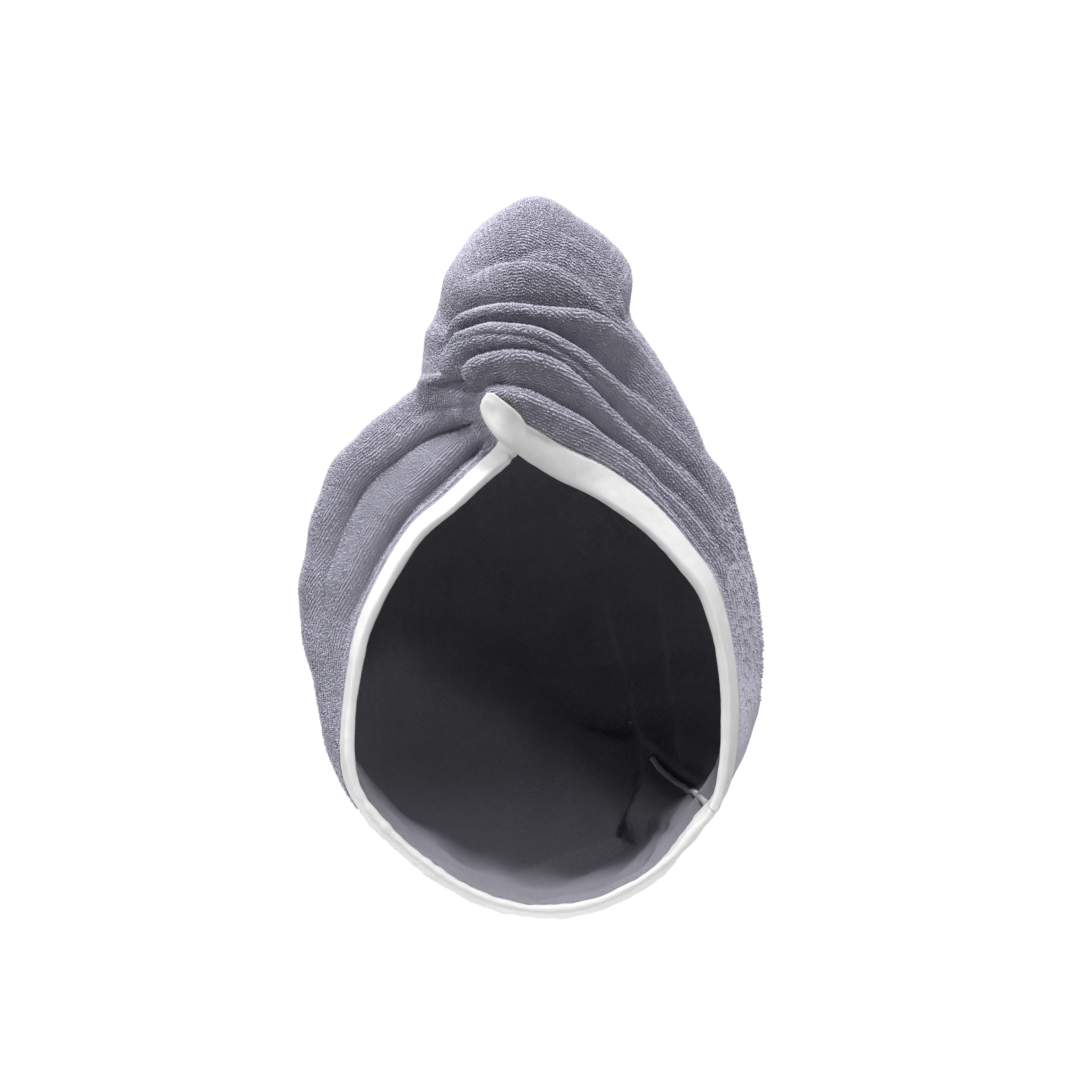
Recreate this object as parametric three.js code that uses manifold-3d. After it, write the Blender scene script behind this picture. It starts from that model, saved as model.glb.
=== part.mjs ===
// A hair turban towel of terry cloth, as it is worn: a hood for the head, a roll where the right panel
// crosses over the left one at the forehead, and the twisted tail buttoned at the nape.
// Millimetres. +Z is up the roll, -Y is out of the opening, and the origin is the middle of the opening.
import * as THREE from "three";
import { mergeVertices } from "three/addons/utils/BufferGeometryUtils.js";
import Module from "manifold-3d";

const wasm = await Module();
wasm.setup();

// Hood and roll
const OPENING_HALF_WIDTH = 79; // from the middle to the tape at the ears
const OPENING_HALF_HEIGHT = 100; // from the middle to the tape at the nape
const HOOD_HALF_WIDTH = 101; // from the middle to the widest fold of the panels
const ROLL_HEIGHT = 213; // from the middle of the opening to the top of the roll
const HOOD_DEPTH = 145; // from the opening back to the hood's back
const CROWN_HEIGHT = 136; // from the middle to the hood under the roll
const CAVITY_HEIGHT = 122; // from the middle to the cloth over the crown, inside
const WALL = 2.4; // two layers of terry
const FOLD_DEPTH = 4; // the deepest fold of the cloth
const PLEAT_THICKNESS = 5; // what the folded layers add to the wall, inwards
const LAP_STEP = 9; // how far the roll stands before the left panel at the tuck
const CROSSING_STEP = 5; // how far the right panel stands before the left one at the crossing

// Binding tape
const TAPE_WIDTH = 12.5;
const TAPE_THICKNESS = 0.6;
const CLEARANCE = 0.3;

// Tail
const TAIL_RADIUS = 38; // where it leaves the roll
const TAIL_TIP_RADIUS = 9; // at the nape
const TAIL_TURNS = 2.2; // turns of the twist from the roll to the nape
const TAIL_STRANDS = 3; // rolls of cloth seen round the twist
const TAIL_GROOVE = 3; // how deep the twist's grooves are

// Button
const BUTTON_RADIUS = 12;
const BUTTON_THICKNESS = 4;
const BUTTON_EDGE = 1;
const POST_RADIUS = 2.5;

// Seam allowance inside
const SEAM_WIDTH = 3.2;
const SEAM_HEIGHT = 2.6;

// How finely the surfaces are cut
const COLUMNS_PER_SECTION = 3;
const HEM_STEPS = 2; // over the tape's width
const LINE_STEPS = 28; // in each fold's line
const BUTTON_SIDES = 24;
const NORMAL_STEP = 0.02; // of a section, to work out a normal
const MERGE_DISTANCE = 1e-4;
const LEAST_SINE = 0.5; // of the angle between a section and the edge of the opening
const WIDEST_HEM_SHARE = 0.85; // most of a section's front that the tape may cover
const HANDLE_SHARE = 0.42; // length of the curves' handles, as a share of their chord
const BACK_POWER = 2.3; // of the curve from the outline to the back, where 2 is an ellipse
const ROLL_POWER = 6; // of the cosine by which the roll's height dies away towards the back
const FOLD_FADE = 0.15; // share of a fold's line over which it comes and goes
const FOLDS_END = 0.35; // share of the hood's depth where the front's folds begin to end
const LAP_REACH = 0.3; // how far the lap is felt, as a share of the hood's half width
const LAP_EDGE = 0.05; // half the width of the lap's cliff, as a share of the same
const ROLL_SECTIONS = 4; // sections on each side of the crossing that the roll takes
const TAPE_STARTS = 2; // the column where the right tape begins to fold round the edge
const LEAST_LEG = 0.05; // of the inner leg, at that column
const TAPE_LIFT = 1.2; // from the roll to the flat end of the right tape
const SEAM_SECTION = 11.33; // the section that the seam runs along
const SEAM_FIRST = 4; // the seam's first point along the lining, past the tape
const SEAM_LAST_GAP = 3; // points of the lining that it leaves at the back
const BUTTON_SHARE = 0.955; // of the tail's length
const FRONT_STEPS = 16;
const BACK_STEPS = 7;
const LINING_FRONT_STEPS = 4;
const LINING_BACK_STEPS = 6;
const TAIL_SIDES = 20;
const TAIL_STEPS = 30;

// Sections of the hood, clockwise from the crossing as one looks in. rimX and rimZ: the finished edge, as
// shares of the opening's half width and half height. crestX and crestZ: the outline, as shares of the
// hood's half width and the roll's height. crestY and edgeY: how far back the outline and the edge lie, as
// shares of the hood's depth. lean: degrees by which the cloth at the edge turns back from facing the front.
const SECTIONS = [
  { rimX: -0.13, rimZ: 1.02, crestX: -0.15, crestZ: 0.985, edgeY: -0.01, crestY: 0.32, lean: -12 },
  { rimX: -0.04, rimZ: 0.98, crestX: 0.03, crestZ: 1.0, edgeY: -0.01, crestY: 0.34, lean: -14 },
  { rimX: 0.06, rimZ: 0.93, crestX: 0.26, crestZ: 0.94, edgeY: -0.01, crestY: 0.34, lean: -10 },
  { rimX: 0.17, rimZ: 0.88, crestX: 0.4, crestZ: 0.87, edgeY: -0.01, crestY: 0.33, lean: 0 },
  { rimX: 0.28, rimZ: 0.83, crestX: 0.44, crestZ: 0.76, edgeY: 0, crestY: 0.33, lean: 14 },
  { rimX: 0.42, rimZ: 0.76, crestX: 0.54, crestZ: 0.655, edgeY: 0.01, crestY: 0.34, lean: 28 },
  { rimX: 0.58, rimZ: 0.66, crestX: 0.68, crestZ: 0.543, edgeY: 0.02, crestY: 0.34, lean: 44 },
  { rimX: 0.75, rimZ: 0.52, crestX: 0.81, crestZ: 0.436, edgeY: 0.03, crestY: 0.34, lean: 58 },
  { rimX: 0.89, rimZ: 0.37, crestX: 0.91, crestZ: 0.306, edgeY: 0.04, crestY: 0.34, lean: 68 },
  { rimX: 0.98, rimZ: 0.12, crestX: 0.97, crestZ: 0.151, edgeY: 0.05, crestY: 0.34, lean: 76 },
  { rimX: 1.01, rimZ: -0.16, crestX: 0.96, crestZ: -0.035, edgeY: 0.05, crestY: 0.31, lean: 78 },
  { rimX: 0.97, rimZ: -0.48, crestX: 0.85, crestZ: -0.192, edgeY: 0.03, crestY: 0.21, lean: 76 },
  { rimX: 0.84, rimZ: -0.64, crestX: 0.7, crestZ: -0.289, edgeY: 0.02, crestY: 0.12, lean: 72 },
  { rimX: 0.61, rimZ: -0.82, crestX: 0.5, crestZ: -0.405, edgeY: 0.01, crestY: 0.1, lean: 68 },
  { rimX: 0.28, rimZ: -0.95, crestX: 0.23, crestZ: -0.469, edgeY: 0, crestY: 0.1, lean: 66 },
  { rimX: -0.06, rimZ: -0.97, crestX: -0.04, crestZ: -0.479, edgeY: 0, crestY: 0.1, lean: 66 },
  { rimX: -0.39, rimZ: -0.89, crestX: -0.33, crestZ: -0.44, edgeY: 0, crestY: 0.1, lean: 66 },
  { rimX: -0.72, rimZ: -0.71, crestX: -0.6, crestZ: -0.353, edgeY: 0.01, crestY: 0.1, lean: 70 },
  { rimX: -0.95, rimZ: -0.52, crestX: -0.79, crestZ: -0.258, edgeY: 0.02, crestY: 0.13, lean: 74 },
  { rimX: -1.03, rimZ: -0.34, crestX: -0.9, crestZ: -0.167, edgeY: 0.03, crestY: 0.21, lean: 78 },
  { rimX: -1.02, rimZ: -0.1, crestX: -0.98, crestZ: -0.01, edgeY: 0.05, crestY: 0.29, lean: 80 },
  { rimX: -0.95, rimZ: 0.2, crestX: -1.03, crestZ: 0.147, edgeY: 0.05, crestY: 0.34, lean: 76 },
  { rimX: -0.82, rimZ: 0.42, crestX: -0.99, crestZ: 0.3, edgeY: 0.04, crestY: 0.36, lean: 66 },
  { rimX: -0.65, rimZ: 0.63, crestX: -0.9, crestZ: 0.428, edgeY: 0.03, crestY: 0.36, lean: 58 },
  { rimX: -0.47, rimZ: 0.75, crestX: -0.76, crestZ: 0.51, edgeY: 0.02, crestY: 0.34, lean: 52 },
  { rimX: -0.31, rimZ: 0.87, crestX: -0.6, crestZ: 0.568, edgeY: 0.01, crestY: 0.33, lean: 48 },
  { rimX: -0.22, rimZ: 0.93, crestX: -0.51, crestZ: 0.609, edgeY: 0, crestY: 0.32, lean: 40 },
  { rimX: -0.18, rimZ: 0.96, crestX: -0.52, crestZ: 0.667, edgeY: -0.01, crestY: 0.32, lean: 30 },
  { rimX: -0.16, rimZ: 0.99, crestX: -0.46, crestZ: 0.779, edgeY: -0.01, crestY: 0.3, lean: 16 },
  { rimX: -0.14, rimZ: 1.0, crestX: -0.34, crestZ: 0.901, edgeY: -0.01, crestY: 0.3, lean: 0 },
];

// The line where the roll lies over the left panel, from its left end to the crossing: across and up, as
// shares of the hood's half width and the roll's height.
const TUCK_LINE = [
  [-0.53, 0.6],
  [-0.44, 0.62],
  [-0.36, 0.625],
  [-0.28, 0.615],
  [-0.245, 0.595],
  [-0.25, 0.565],
  [-0.22, 0.535],
  [-0.165, 0.5],
  [-0.1, 0.475],
];

// Main folds, as seen from the front. at: points across and up, as shares of the hood's half width and the
// roll's height. width: half the fold's width, as a share of the hood's half width. depth: as a share of
// the fold depth, below zero for a valley.
const FOLDS = [
  { at: [[-0.35, 0.87], [-0.15, 0.93], [0.04, 0.94], [0.12, 0.925]], width: 0.05, depth: 0.5 },
  { at: [[0.14, 0.94], [0.25, 0.88], [0.36, 0.8], [0.4, 0.72]], width: 0.06, depth: -0.8 },
  { at: [[-0.17, 0.88], [0.09, 0.87], [0.32, 0.79], [0.43, 0.73]], width: 0.06, depth: -0.7 },
  { at: [[-0.42, 0.74], [-0.26, 0.79], [0.0, 0.795], [0.2, 0.755], [0.47, 0.67]], width: 0.06, depth: 0.45 },
  { at: [[-0.46, 0.68], [-0.4, 0.71], [-0.3, 0.735], [-0.07, 0.74], [0.24, 0.685], [0.4, 0.62], [0.61, 0.55]],
    width: 0.055, depth: -1 },
  { at: [[-0.31, 0.64], [-0.26, 0.667], [-0.14, 0.685], [0.01, 0.67], [0.36, 0.565], [0.56, 0.485]],
    width: 0.055, depth: -0.7 },
  { at: [[-0.17, 0.6], [-0.03, 0.603], [0.17, 0.565], [0.36, 0.512], [0.5, 0.47]], width: 0.05, depth: -0.5 },
  { at: [[0.27, 0.585], [0.42, 0.52], [0.58, 0.455], [0.7, 0.382]], width: 0.055, depth: -0.7 },
  { at: [[0.45, 0.585], [0.54, 0.547], [0.67, 0.49], [0.76, 0.446], [0.82, 0.37]], width: 0.055, depth: -0.8 },
  { at: [[0.15, 0.57], [0.39, 0.48], [0.64, 0.376], [0.76, 0.306], [0.82, 0.238], [0.85, 0.15]],
    width: 0.06, depth: -1 },
  { at: [[-0.27, 0.535], [-0.4, 0.52], [-0.5, 0.49], [-0.63, 0.455], [-0.76, 0.38], [-0.86, 0.31],
    [-0.92, 0.23], [-0.94, 0.13]], width: 0.06, depth: -0.8 },
  { at: [[-0.27, 0.558], [-0.47, 0.54], [-0.6, 0.5], [-0.74, 0.455], [-0.85, 0.387], [-0.94, 0.314],
    [-0.98, 0.215]], width: 0.05, depth: 0.5 },
  { at: [[-0.15, 0.494], [-0.33, 0.45], [-0.47, 0.395], [-0.6, 0.33], [-0.7, 0.264], [-0.76, 0.198],
    [-0.81, 0.132]], width: 0.055, depth: -0.6 },
];

// The middle line of the tail: back and up, as shares of the hood's depth and the roll's height, and its
// radius as a share of the way from the tip's radius to the first radius.
const TAIL_LINE = [
  { back: 0.4, up: 0.808, thick: 1 },
  { back: 0.57, up: 0.795, thick: 0.97 },
  { back: 0.78, up: 0.7, thick: 0.86 },
  { back: 0.97, up: 0.52, thick: 0.72 },
  { back: 1.09, up: 0.29, thick: 0.58 },
  { back: 1.13, up: 0.05, thick: 0.44 },
  { back: 1.05, up: -0.18, thick: 0.28 },
  { back: 0.84, up: -0.36, thick: 0.12 },
  { back: 0.75, up: -0.395, thick: 0 },
];

// The overlapping end of the right tape past the crossing: its edge and its inner line, across and up, as
// shares of the hood's half width and the roll's height.
const TAPE_END = [
  { edge: [-0.235, 0.6], inner: [-0.2, 0.6] },
  { edge: [-0.245, 0.575], inner: [-0.165, 0.593] },
  { edge: [-0.225, 0.545], inner: [-0.13, 0.577] },
  { edge: [-0.17, 0.51], inner: [-0.085, 0.552] },
];

const COLOURS = { terry: 0x9695a4, satin: 0xe2e4e2, thread: 0xb4b3bd, button: 0x8b8a99 };

const vec = (x, y, z) => new THREE.Vector3(x, y, z);
const clamp01 = (value) => Math.min(1, Math.max(0, value));
const smooth = (value) => clamp01(value) ** 2 * (3 - 2 * clamp01(value));

// A place seen from the front: shares of the hood's half width and the roll's height, as x and z.
const place = ([across, up]) => [across * HOOD_HALF_WIDTH, up * ROLL_HEIGHT];

// A number between four rows of a table, by the Catmull-Rom cubic.
function cubic(a, b, c, d, t) {
  const bend = 2 * a - 5 * b + 4 * c - d;
  return 0.5 * (2 * b + t * (c - a + t * (bend + t * (3 * (b - c) + d - a))));
}

// The row of the section table at a section number that needs not be whole.
function sectionAt(number) {
  const count = SECTIONS.length;
  const first = Math.floor(number);
  const rows = [-1, 0, 1, 2].map((step) => SECTIONS[(((first + step) % count) + count) % count]);
  const row = {};
  for (const name of Object.keys(SECTIONS[0])) {
    row[name] = cubic(...rows.map((each) => each[name]), number - first);
  }
  return row;
}

// The curve of the cloth at a section: a Bezier curve from the edge to the outline, then a power curve to
// the middle of the back. offset moves it outwards; ceiling is the furthest that it reaches sideways.
function sectionCurve(number, offset, ceiling) {
  const row = sectionAt(number);
  const lean = THREE.MathUtils.degToRad(row.lean);
  const rim = vec(row.rimX * OPENING_HALF_WIDTH, row.edgeY * HOOD_DEPTH, row.rimZ * OPENING_HALF_HEIGHT);
  const outline = vec(row.crestX * HOOD_HALF_WIDTH, row.crestY * HOOD_DEPTH, row.crestZ * ROLL_HEIGHT);
  const reach = Math.hypot(outline.x, outline.z);
  const share = Math.min(reach - WALL / 2 + offset, ceiling) / reach;
  const crest = vec(outline.x * share, outline.y, outline.z * share);
  const outward = vec(rim.x, 0, rim.z).normalize();
  const hem = TAPE_THICKNESS + CLEARANCE;
  const start = rim
    .clone()
    .addScaledVector(outward, hem * Math.cos(lean) + (hem + WALL / 2 + offset) * Math.sin(lean));
  start.y -= offset * Math.cos(lean);
  const facing = vec(crest.x - start.x, 0, crest.z - start.z).normalize();
  const handle = start.distanceTo(crest) * HANDLE_SHARE;
  const first = start.clone().addScaledVector(facing, handle * Math.cos(lean));
  first.y += handle * Math.sin(lean);
  const second = crest.clone().add(vec(0, -handle, 0));
  return { front: new THREE.CubicBezierCurve3(start, first, second, crest), crest };
}

// A point of such a curve: way from 0 at the edge to 1 at the outline and 2 at the middle of the back. What
// the roll adds to the hood's own height dies away faster towards the back.
function pointOf({ front, crest }, way, offset) {
  if (way <= 1) {
    return front.getPoint(way);
  }
  const angle = ((way - 1) * Math.PI) / 2;
  const reach = Math.hypot(crest.x, crest.z);
  const own = Math.min(reach, CROWN_HEIGHT) / reach;
  const narrowing = Math.max(0, Math.cos(angle));
  const shrink = own * narrowing ** (2 / BACK_POWER) + (1 - own) * narrowing ** ROLL_POWER;
  const depth = Math.sin(angle) ** (2 / BACK_POWER);
  const back = HOOD_DEPTH + offset - WALL / 2;
  return vec(crest.x * shrink, crest.y + (back - crest.y) * depth, crest.z * shrink);
}

// The length of a section that the tape covers: its width over the sine of the angle between the section
// and the edge of the opening.
function hemLength(number, offset) {
  const edge = (n) => sectionCurve(n, offset, Infinity).front;
  const alongRim = edge(number + NORMAL_STEP).v0.clone().sub(edge(number - NORMAL_STEP).v0);
  return TAPE_WIDTH / Math.max(LEAST_SINE, Math.sin(alongRim.angleTo(edge(number).getTangent(0))));
}

// The ways of a section's points: even steps over the tape's width, then to the outline, then to the back.
function waysOf(number, { front }, offset, frontSteps, backSteps) {
  const hem = Math.min(hemLength(number, offset) / front.getLength(), WIDEST_HEM_SHARE);
  const ways = [];
  for (let i = 0; i <= HEM_STEPS; i += 1) {
    ways.push(front.getUtoTmapping((hem * i) / HEM_STEPS));
  }
  for (let i = 1; i <= frontSteps; i += 1) {
    ways.push(front.getUtoTmapping(Math.min(1, hem + ((1 - hem) * i) / frontSteps)));
  }
  for (let i = 1; i <= backSteps; i += 1) {
    ways.push(1 + i / backSteps);
  }
  return ways;
}

// The nearest place of a line of points, seen from the front: its distance, the side that the place lies
// on, above zero on the line's left hand, and how far along the line it is.
function nearest(line, x, z) {
  let best = { distance: Infinity };
  for (let i = 0; i + 1 < line.length; i += 1) {
    const [ax, az] = line[i];
    const [bx, bz] = line[i + 1];
    const length = Math.hypot(bx - ax, bz - az);
    const share = clamp01(((x - ax) * (bx - ax) + (z - az) * (bz - az)) / length ** 2);
    const dx = x - ax - share * (bx - ax);
    const dz = z - az - share * (bz - az);
    const distance = Math.hypot(dx, dz);
    if (distance < best.distance) {
      const side = Math.sign((bx - ax) * dz - (bz - az) * dx);
      best = { distance, side, along: (i + share) / (line.length - 1) };
    }
  }
  return best;
}

const curveThrough = (points) =>
  new THREE.CatmullRomCurve3(points.map(([x, z]) => vec(x, 0, z)), false, "centripetal")
    .getPoints(LINE_STEPS)
    .map((point) => [point.x, point.z]);

const foldLines = FOLDS.map((fold) => ({ ...fold, line: curveThrough(fold.at.map(place)) }));
const tuckLine = curveThrough(TUCK_LINE.map(place));

// How far the folds raise the cloth at a place seen from the front: each fold is a bell across its line
// and fades out at both of its ends.
function foldHeight(x, z) {
  let height = 0;
  for (const { line, width, depth } of foldLines) {
    const { distance, along } = nearest(line, x, z);
    const ends = smooth(along / FOLD_FADE) * smooth((1 - along) / FOLD_FADE);
    height += depth * FOLD_DEPTH * ends * Math.exp(-((distance / (width * HOOD_HALF_WIDTH)) ** 2));
  }
  return height;
}

// How far the cloth comes forward at the lap of the right panel over the left one: a step across the tuck
// line, which dies away on both sides of it and changes evenly from the line's left end to the crossing.
function lapStep(x, z) {
  const { distance, side } = nearest(tuckLine, x, z);
  const across = (x - tuckLine[0][0]) / (tuckLine.at(-1)[0] - tuckLine[0][0]);
  const step = LAP_STEP + (CROSSING_STEP - LAP_STEP) * clamp01(across);
  const cliff = smooth(distance / (LAP_EDGE * HOOD_HALF_WIDTH));
  return side * 0.5 * step * cliff * Math.exp(-distance / (LAP_REACH * HOOD_HALF_WIDTH));
}

// How much of the front's forms a point has: all of them at the opening, and none at the back.
const frontShare = (point) => 1 - smooth((point.y / HOOD_DEPTH - FOLDS_END) / FOLDS_END);

// How much of the folds a point of a section has, whose first point is start: none under the tape.
const foldShare = (point, start) =>
  smooth((point.distanceTo(start) - TAPE_WIDTH) / TAPE_WIDTH) * frontShare(point);

// A point of the cloth's outside with its folds, and its outward normal. grow moves it outwards.
function outside(number, way, grow = 0) {
  const offset = WALL / 2 + grow;
  const here = sectionCurve(number, offset, Infinity);
  const near = Math.min(way, 2 - NORMAL_STEP);
  const before = sectionCurve(number - NORMAL_STEP, offset, Infinity);
  const after = sectionCurve(number + NORMAL_STEP, offset, Infinity);
  const alongRim = pointOf(after, near, offset).sub(pointOf(before, near, offset));
  const alongWay = pointOf(here, near + NORMAL_STEP, offset);
  alongWay.sub(pointOf(here, Math.max(0, near - NORMAL_STEP), offset));
  const normal = alongRim.cross(alongWay).normalize();
  const point = pointOf(here, way, offset);
  const step = lapStep(point.x, point.z) * frontShare(point);
  point.addScaledVector(normal, foldHeight(point.x, point.z) * foldShare(point, here.front.v0));
  point.y -= step;
  return { point, normal };
}

// A closed geometry of points and triangles, with its faces pointing out.
function closedGeometry(points, triangles) {
  const geometry = new THREE.BufferGeometry();
  geometry.setAttribute("position", new THREE.Float32BufferAttribute(points.flatMap((p) => p.toArray()), 3));
  geometry.setIndex(triangles);
  const merged = mergeVertices(geometry, MERGE_DISTANCE);
  const corners = merged.index.array;
  const kept = [];
  for (let i = 0; i < corners.length; i += 3) {
    const [a, b, c] = corners.slice(i, i + 3);
    if (a !== b && b !== c && a !== c) {
      kept.push(a, b, c);
    }
  }
  merged.setIndex(volumeOf(merged.attributes.position, kept) < 0 ? kept.reverse() : kept);
  return merged;
}

function volumeOf(position, corners) {
  const [a, b, c] = [vec(0, 0, 0), vec(0, 0, 0), vec(0, 0, 0)];
  let volume = 0;
  for (let i = 0; i < corners.length; i += 3) {
    a.fromBufferAttribute(position, corners[i]);
    b.fromBufferAttribute(position, corners[i + 1]);
    c.fromBufferAttribute(position, corners[i + 2]);
    volume += a.dot(b.cross(c)) / 6;
  }
  return volume;
}

// A skin over equal loops of points, either joined end to end or with both ends closed by fans.
function skin(loops, joined) {
  const points = loops.flat();
  const sides = loops[0].length;
  const triangles = [];
  const bands = joined ? loops.length : loops.length - 1;
  for (let i = 0; i < bands; i += 1) {
    const here = i * sides;
    const next = ((i + 1) % loops.length) * sides;
    for (let j = 0; j < sides; j += 1) {
      const k = (j + 1) % sides;
      triangles.push(here + j, next + j, next + k, here + j, next + k, here + k);
    }
  }
  if (!joined) {
    for (const [loop, base, turn] of [[loops[0], 0, false], [loops.at(-1), points.length - sides, true]]) {
      const middle = loop.reduce((sum, point) => sum.add(point), vec(0, 0, 0)).divideScalar(sides);
      const centre = points.push(middle) - 1;
      for (let j = 0; j < sides; j += 1) {
        const edge = [base + j, base + ((j + 1) % sides)];
        triangles.push(centre, ...(turn ? edge.reverse() : edge));
      }
    }
  }
  return closedGeometry(points, triangles);
}

const columns = Array.from({ length: SECTIONS.length * COLUMNS_PER_SECTION }, (_, i) => i / COLUMNS_PER_SECTION);

// The outside of the hood at a column, from the edge to the back.
function outsideColumn(number, grow = 0) {
  const offset = WALL / 2 + grow;
  const ways = waysOf(number, sectionCurve(number, offset, Infinity), offset, FRONT_STEPS, BACK_STEPS);
  return ways.map((way) => outside(number, way, grow));
}

// The lining of the hood at a column, from the edge to the back. It goes back with the left panel where the
// lap presses on it, and lies further in behind the folds, where the cloth has more layers.
function liningColumn(number, grow = 0) {
  const offset = -WALL / 2 - grow;
  const curve = sectionCurve(number, offset, CAVITY_HEIGHT - grow);
  const ways = waysOf(number, curve, offset, LINING_FRONT_STEPS, LINING_BACK_STEPS);
  return ways.map((way) => {
    const point = pointOf(curve, way, offset);
    const outward = vec(point.x, 0, point.z).normalize();
    const pleats = PLEAT_THICKNESS * foldShare(point, curve.front.v0);
    point.y += Math.max(0, -lapStep(point.x, point.z)) * frontShare(point);
    return point.addScaledVector(outward, -pleats);
  });
}

const outsides = columns.map((number) => outsideColumn(number));
const linings = columns.map((number) => liningColumn(number));

// The hood and its roll: at each column out over the cloth and back along the lining.
function hood(grow = 0) {
  return skin(columns.map((number) => [
    ...outsideColumn(number, grow).map(({ point }) => point),
    ...liningColumn(number, grow).reverse(),
  ]), true);
}

// The hood as one filled block, a clearance larger, to cut what lies on it.
function hoodBlock() {
  const middle = vec(0, -CLEARANCE, 0);
  return skin(columns.map((number) => [
    middle.clone(),
    ...outsideColumn(number, CLEARANCE).map(({ point }) => point),
  ]), true);
}

const columnOf = (number) => (Math.round(number * COLUMNS_PER_SECTION) + columns.length) % columns.length;

// The folded tape at a column: round the cloth's edge, outer leg, edge and inner leg. legShare is how much
// of the inner leg is there.
function tapeLoop(index, legShare = 1) {
  const outer = outsides[index].slice(0, HEM_STEPS + 1);
  const inner = linings[index].slice(0, HEM_STEPS + 1);
  const into = outer[1].point.clone().sub(outer[0].point).normalize();
  const legs = (distance) => {
    const out = outer.map(({ point, normal }) => point.clone().addScaledVector(normal, distance)).reverse();
    const back = inner.map((point, i) => point.clone().addScaledVector(outer[i].normal, -distance));
    out.at(-1).addScaledVector(into, -distance / 2);
    back[0].addScaledVector(into, -distance / 2);
    const edge = out.at(-1).clone().add(back[0]).multiplyScalar(0.5).addScaledVector(into, -distance / 2);
    return [...out, edge, ...back.map((point) => edge.clone().lerp(point, legShare))];
  };
  return [...legs(CLEARANCE + TAPE_THICKNESS), ...legs(CLEARANCE).reverse()];
}

// Moves the loop at the end of a run a little towards the one before it.
function trimmed(loop, before, distance) {
  const gap = loop[0].distanceTo(before[0]);
  return loop.map((point, i) => point.clone().lerp(before[i], distance / gap));
}

// The place on the outside that one sees at a place from the front, on the roll's side of the tuck line.
function frontDepth(x, z) {
  let best = { distance: Infinity };
  for (let number = -ROLL_SECTIONS; number <= ROLL_SECTIONS; number += 1 / COLUMNS_PER_SECTION) {
    for (const { point } of outsides[columnOf(number)].slice(0, HEM_STEPS + FRONT_STEPS)) {
      const distance = Math.hypot(point.x - x, point.z - z);
      if (distance < best.distance && nearest(tuckLine, point.x, point.z).side > 0) {
        best = { distance, y: point.y };
      }
    }
  }
  return best.y;
}

// The flat end of the right tape past the crossing: the same loop of points as the folded tape, with its
// legs laid flat on the roll's side of the tuck line.
function tapeEndLoop({ edge, inner }, lift) {
  const [edgeX, edgeZ] = place(edge);
  const [innerX, innerZ] = place(inner);
  const from = vec(edgeX, 0, edgeZ);
  const to = vec(innerX, 0, innerZ);
  const depth = Math.min(frontDepth(innerX, innerZ), frontDepth(edgeX, edgeZ));
  const line = (distance) =>
    Array.from({ length: HEM_STEPS + 1 }, (_, i) => {
      const point = from.clone().lerp(to, i / HEM_STEPS);
      point.y = depth - lift - distance;
      return point;
    });
  const outer = line(TAPE_THICKNESS * 2).reverse();
  const inside = line(0);
  const tip = from.clone().lerp(to, -0.06);
  tip.y = depth - lift - TAPE_THICKNESS;
  const middleOuter = line(TAPE_THICKNESS * 1.2);
  const middleInner = line(TAPE_THICKNESS * 0.8).reverse();
  const core = from.clone().lerp(to, 0.02);
  core.y = tip.y;
  return [...outer, tip, ...inside, ...middleInner, core, ...middleOuter];
}

// The right tape: its flat end on the roll, then folded round the edge from the crossing to the seam.
function overBinding() {
  const loops = TAPE_END.map((row) => tapeEndLoop(row, TAPE_LIFT));
  for (let index = TAPE_STARTS; index <= columnOf(SEAM_SECTION); index += 1) {
    loops.push(tapeLoop(index, index > TAPE_STARTS ? 1 : LEAST_LEG));
  }
  loops.push(trimmed(loops.pop(), loops.at(-1), CLEARANCE / 2));
  return skin(loops, false);
}

// The left tape: from the seam round the nape and up to the crossing, where it ends under the right one.
function underBinding() {
  const loops = [];
  for (let index = columnOf(SEAM_SECTION); index < columns.length - 1; index += 1) {
    loops.push(tapeLoop(index));
  }
  loops[0] = trimmed(loops[0], loops[1], CLEARANCE / 2);
  return skin(loops, false);
}

// The seam allowance: a low ridge on the lining along the column of the seam.
function innerSeam() {
  const index = columnOf(SEAM_SECTION);
  const lining = linings[index].slice(SEAM_FIRST, -SEAM_LAST_GAP);
  const across = linings[index + 1][HEM_STEPS].clone().sub(linings[index - 1][HEM_STEPS]).normalize();
  const loops = lining.map((point, i) => {
    const next = lining[Math.min(i + 1, lining.length - 1)];
    const along = next.clone().sub(lining[Math.max(i - 1, 0)]).normalize();
    const inward = along.clone().cross(across).normalize();
    const at = (side, rise) => point.clone().addScaledVector(across, side * SEAM_WIDTH).addScaledVector(inward, rise);
    const top = CLEARANCE + SEAM_HEIGHT;
    return [at(-0.5, CLEARANCE), at(0.5, CLEARANCE), at(0.3, top), at(-0.3, top)];
  });
  return skin(loops, false);
}

const tailLine = new THREE.CatmullRomCurve3(
  TAIL_LINE.map(({ back, up }) => vec(0, back * HOOD_DEPTH, up * ROLL_HEIGHT)),
  false,
  "centripetal",
);

// The tail's radius at a share of its length.
function tailRadius(share) {
  const step = share * (TAIL_LINE.length - 1);
  const first = Math.min(Math.floor(step), TAIL_LINE.length - 2);
  const thick = TAIL_LINE[first].thick + (TAIL_LINE[first + 1].thick - TAIL_LINE[first].thick) * (step - first);
  return TAIL_TIP_RADIUS + (TAIL_RADIUS - TAIL_TIP_RADIUS) * thick;
}

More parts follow.
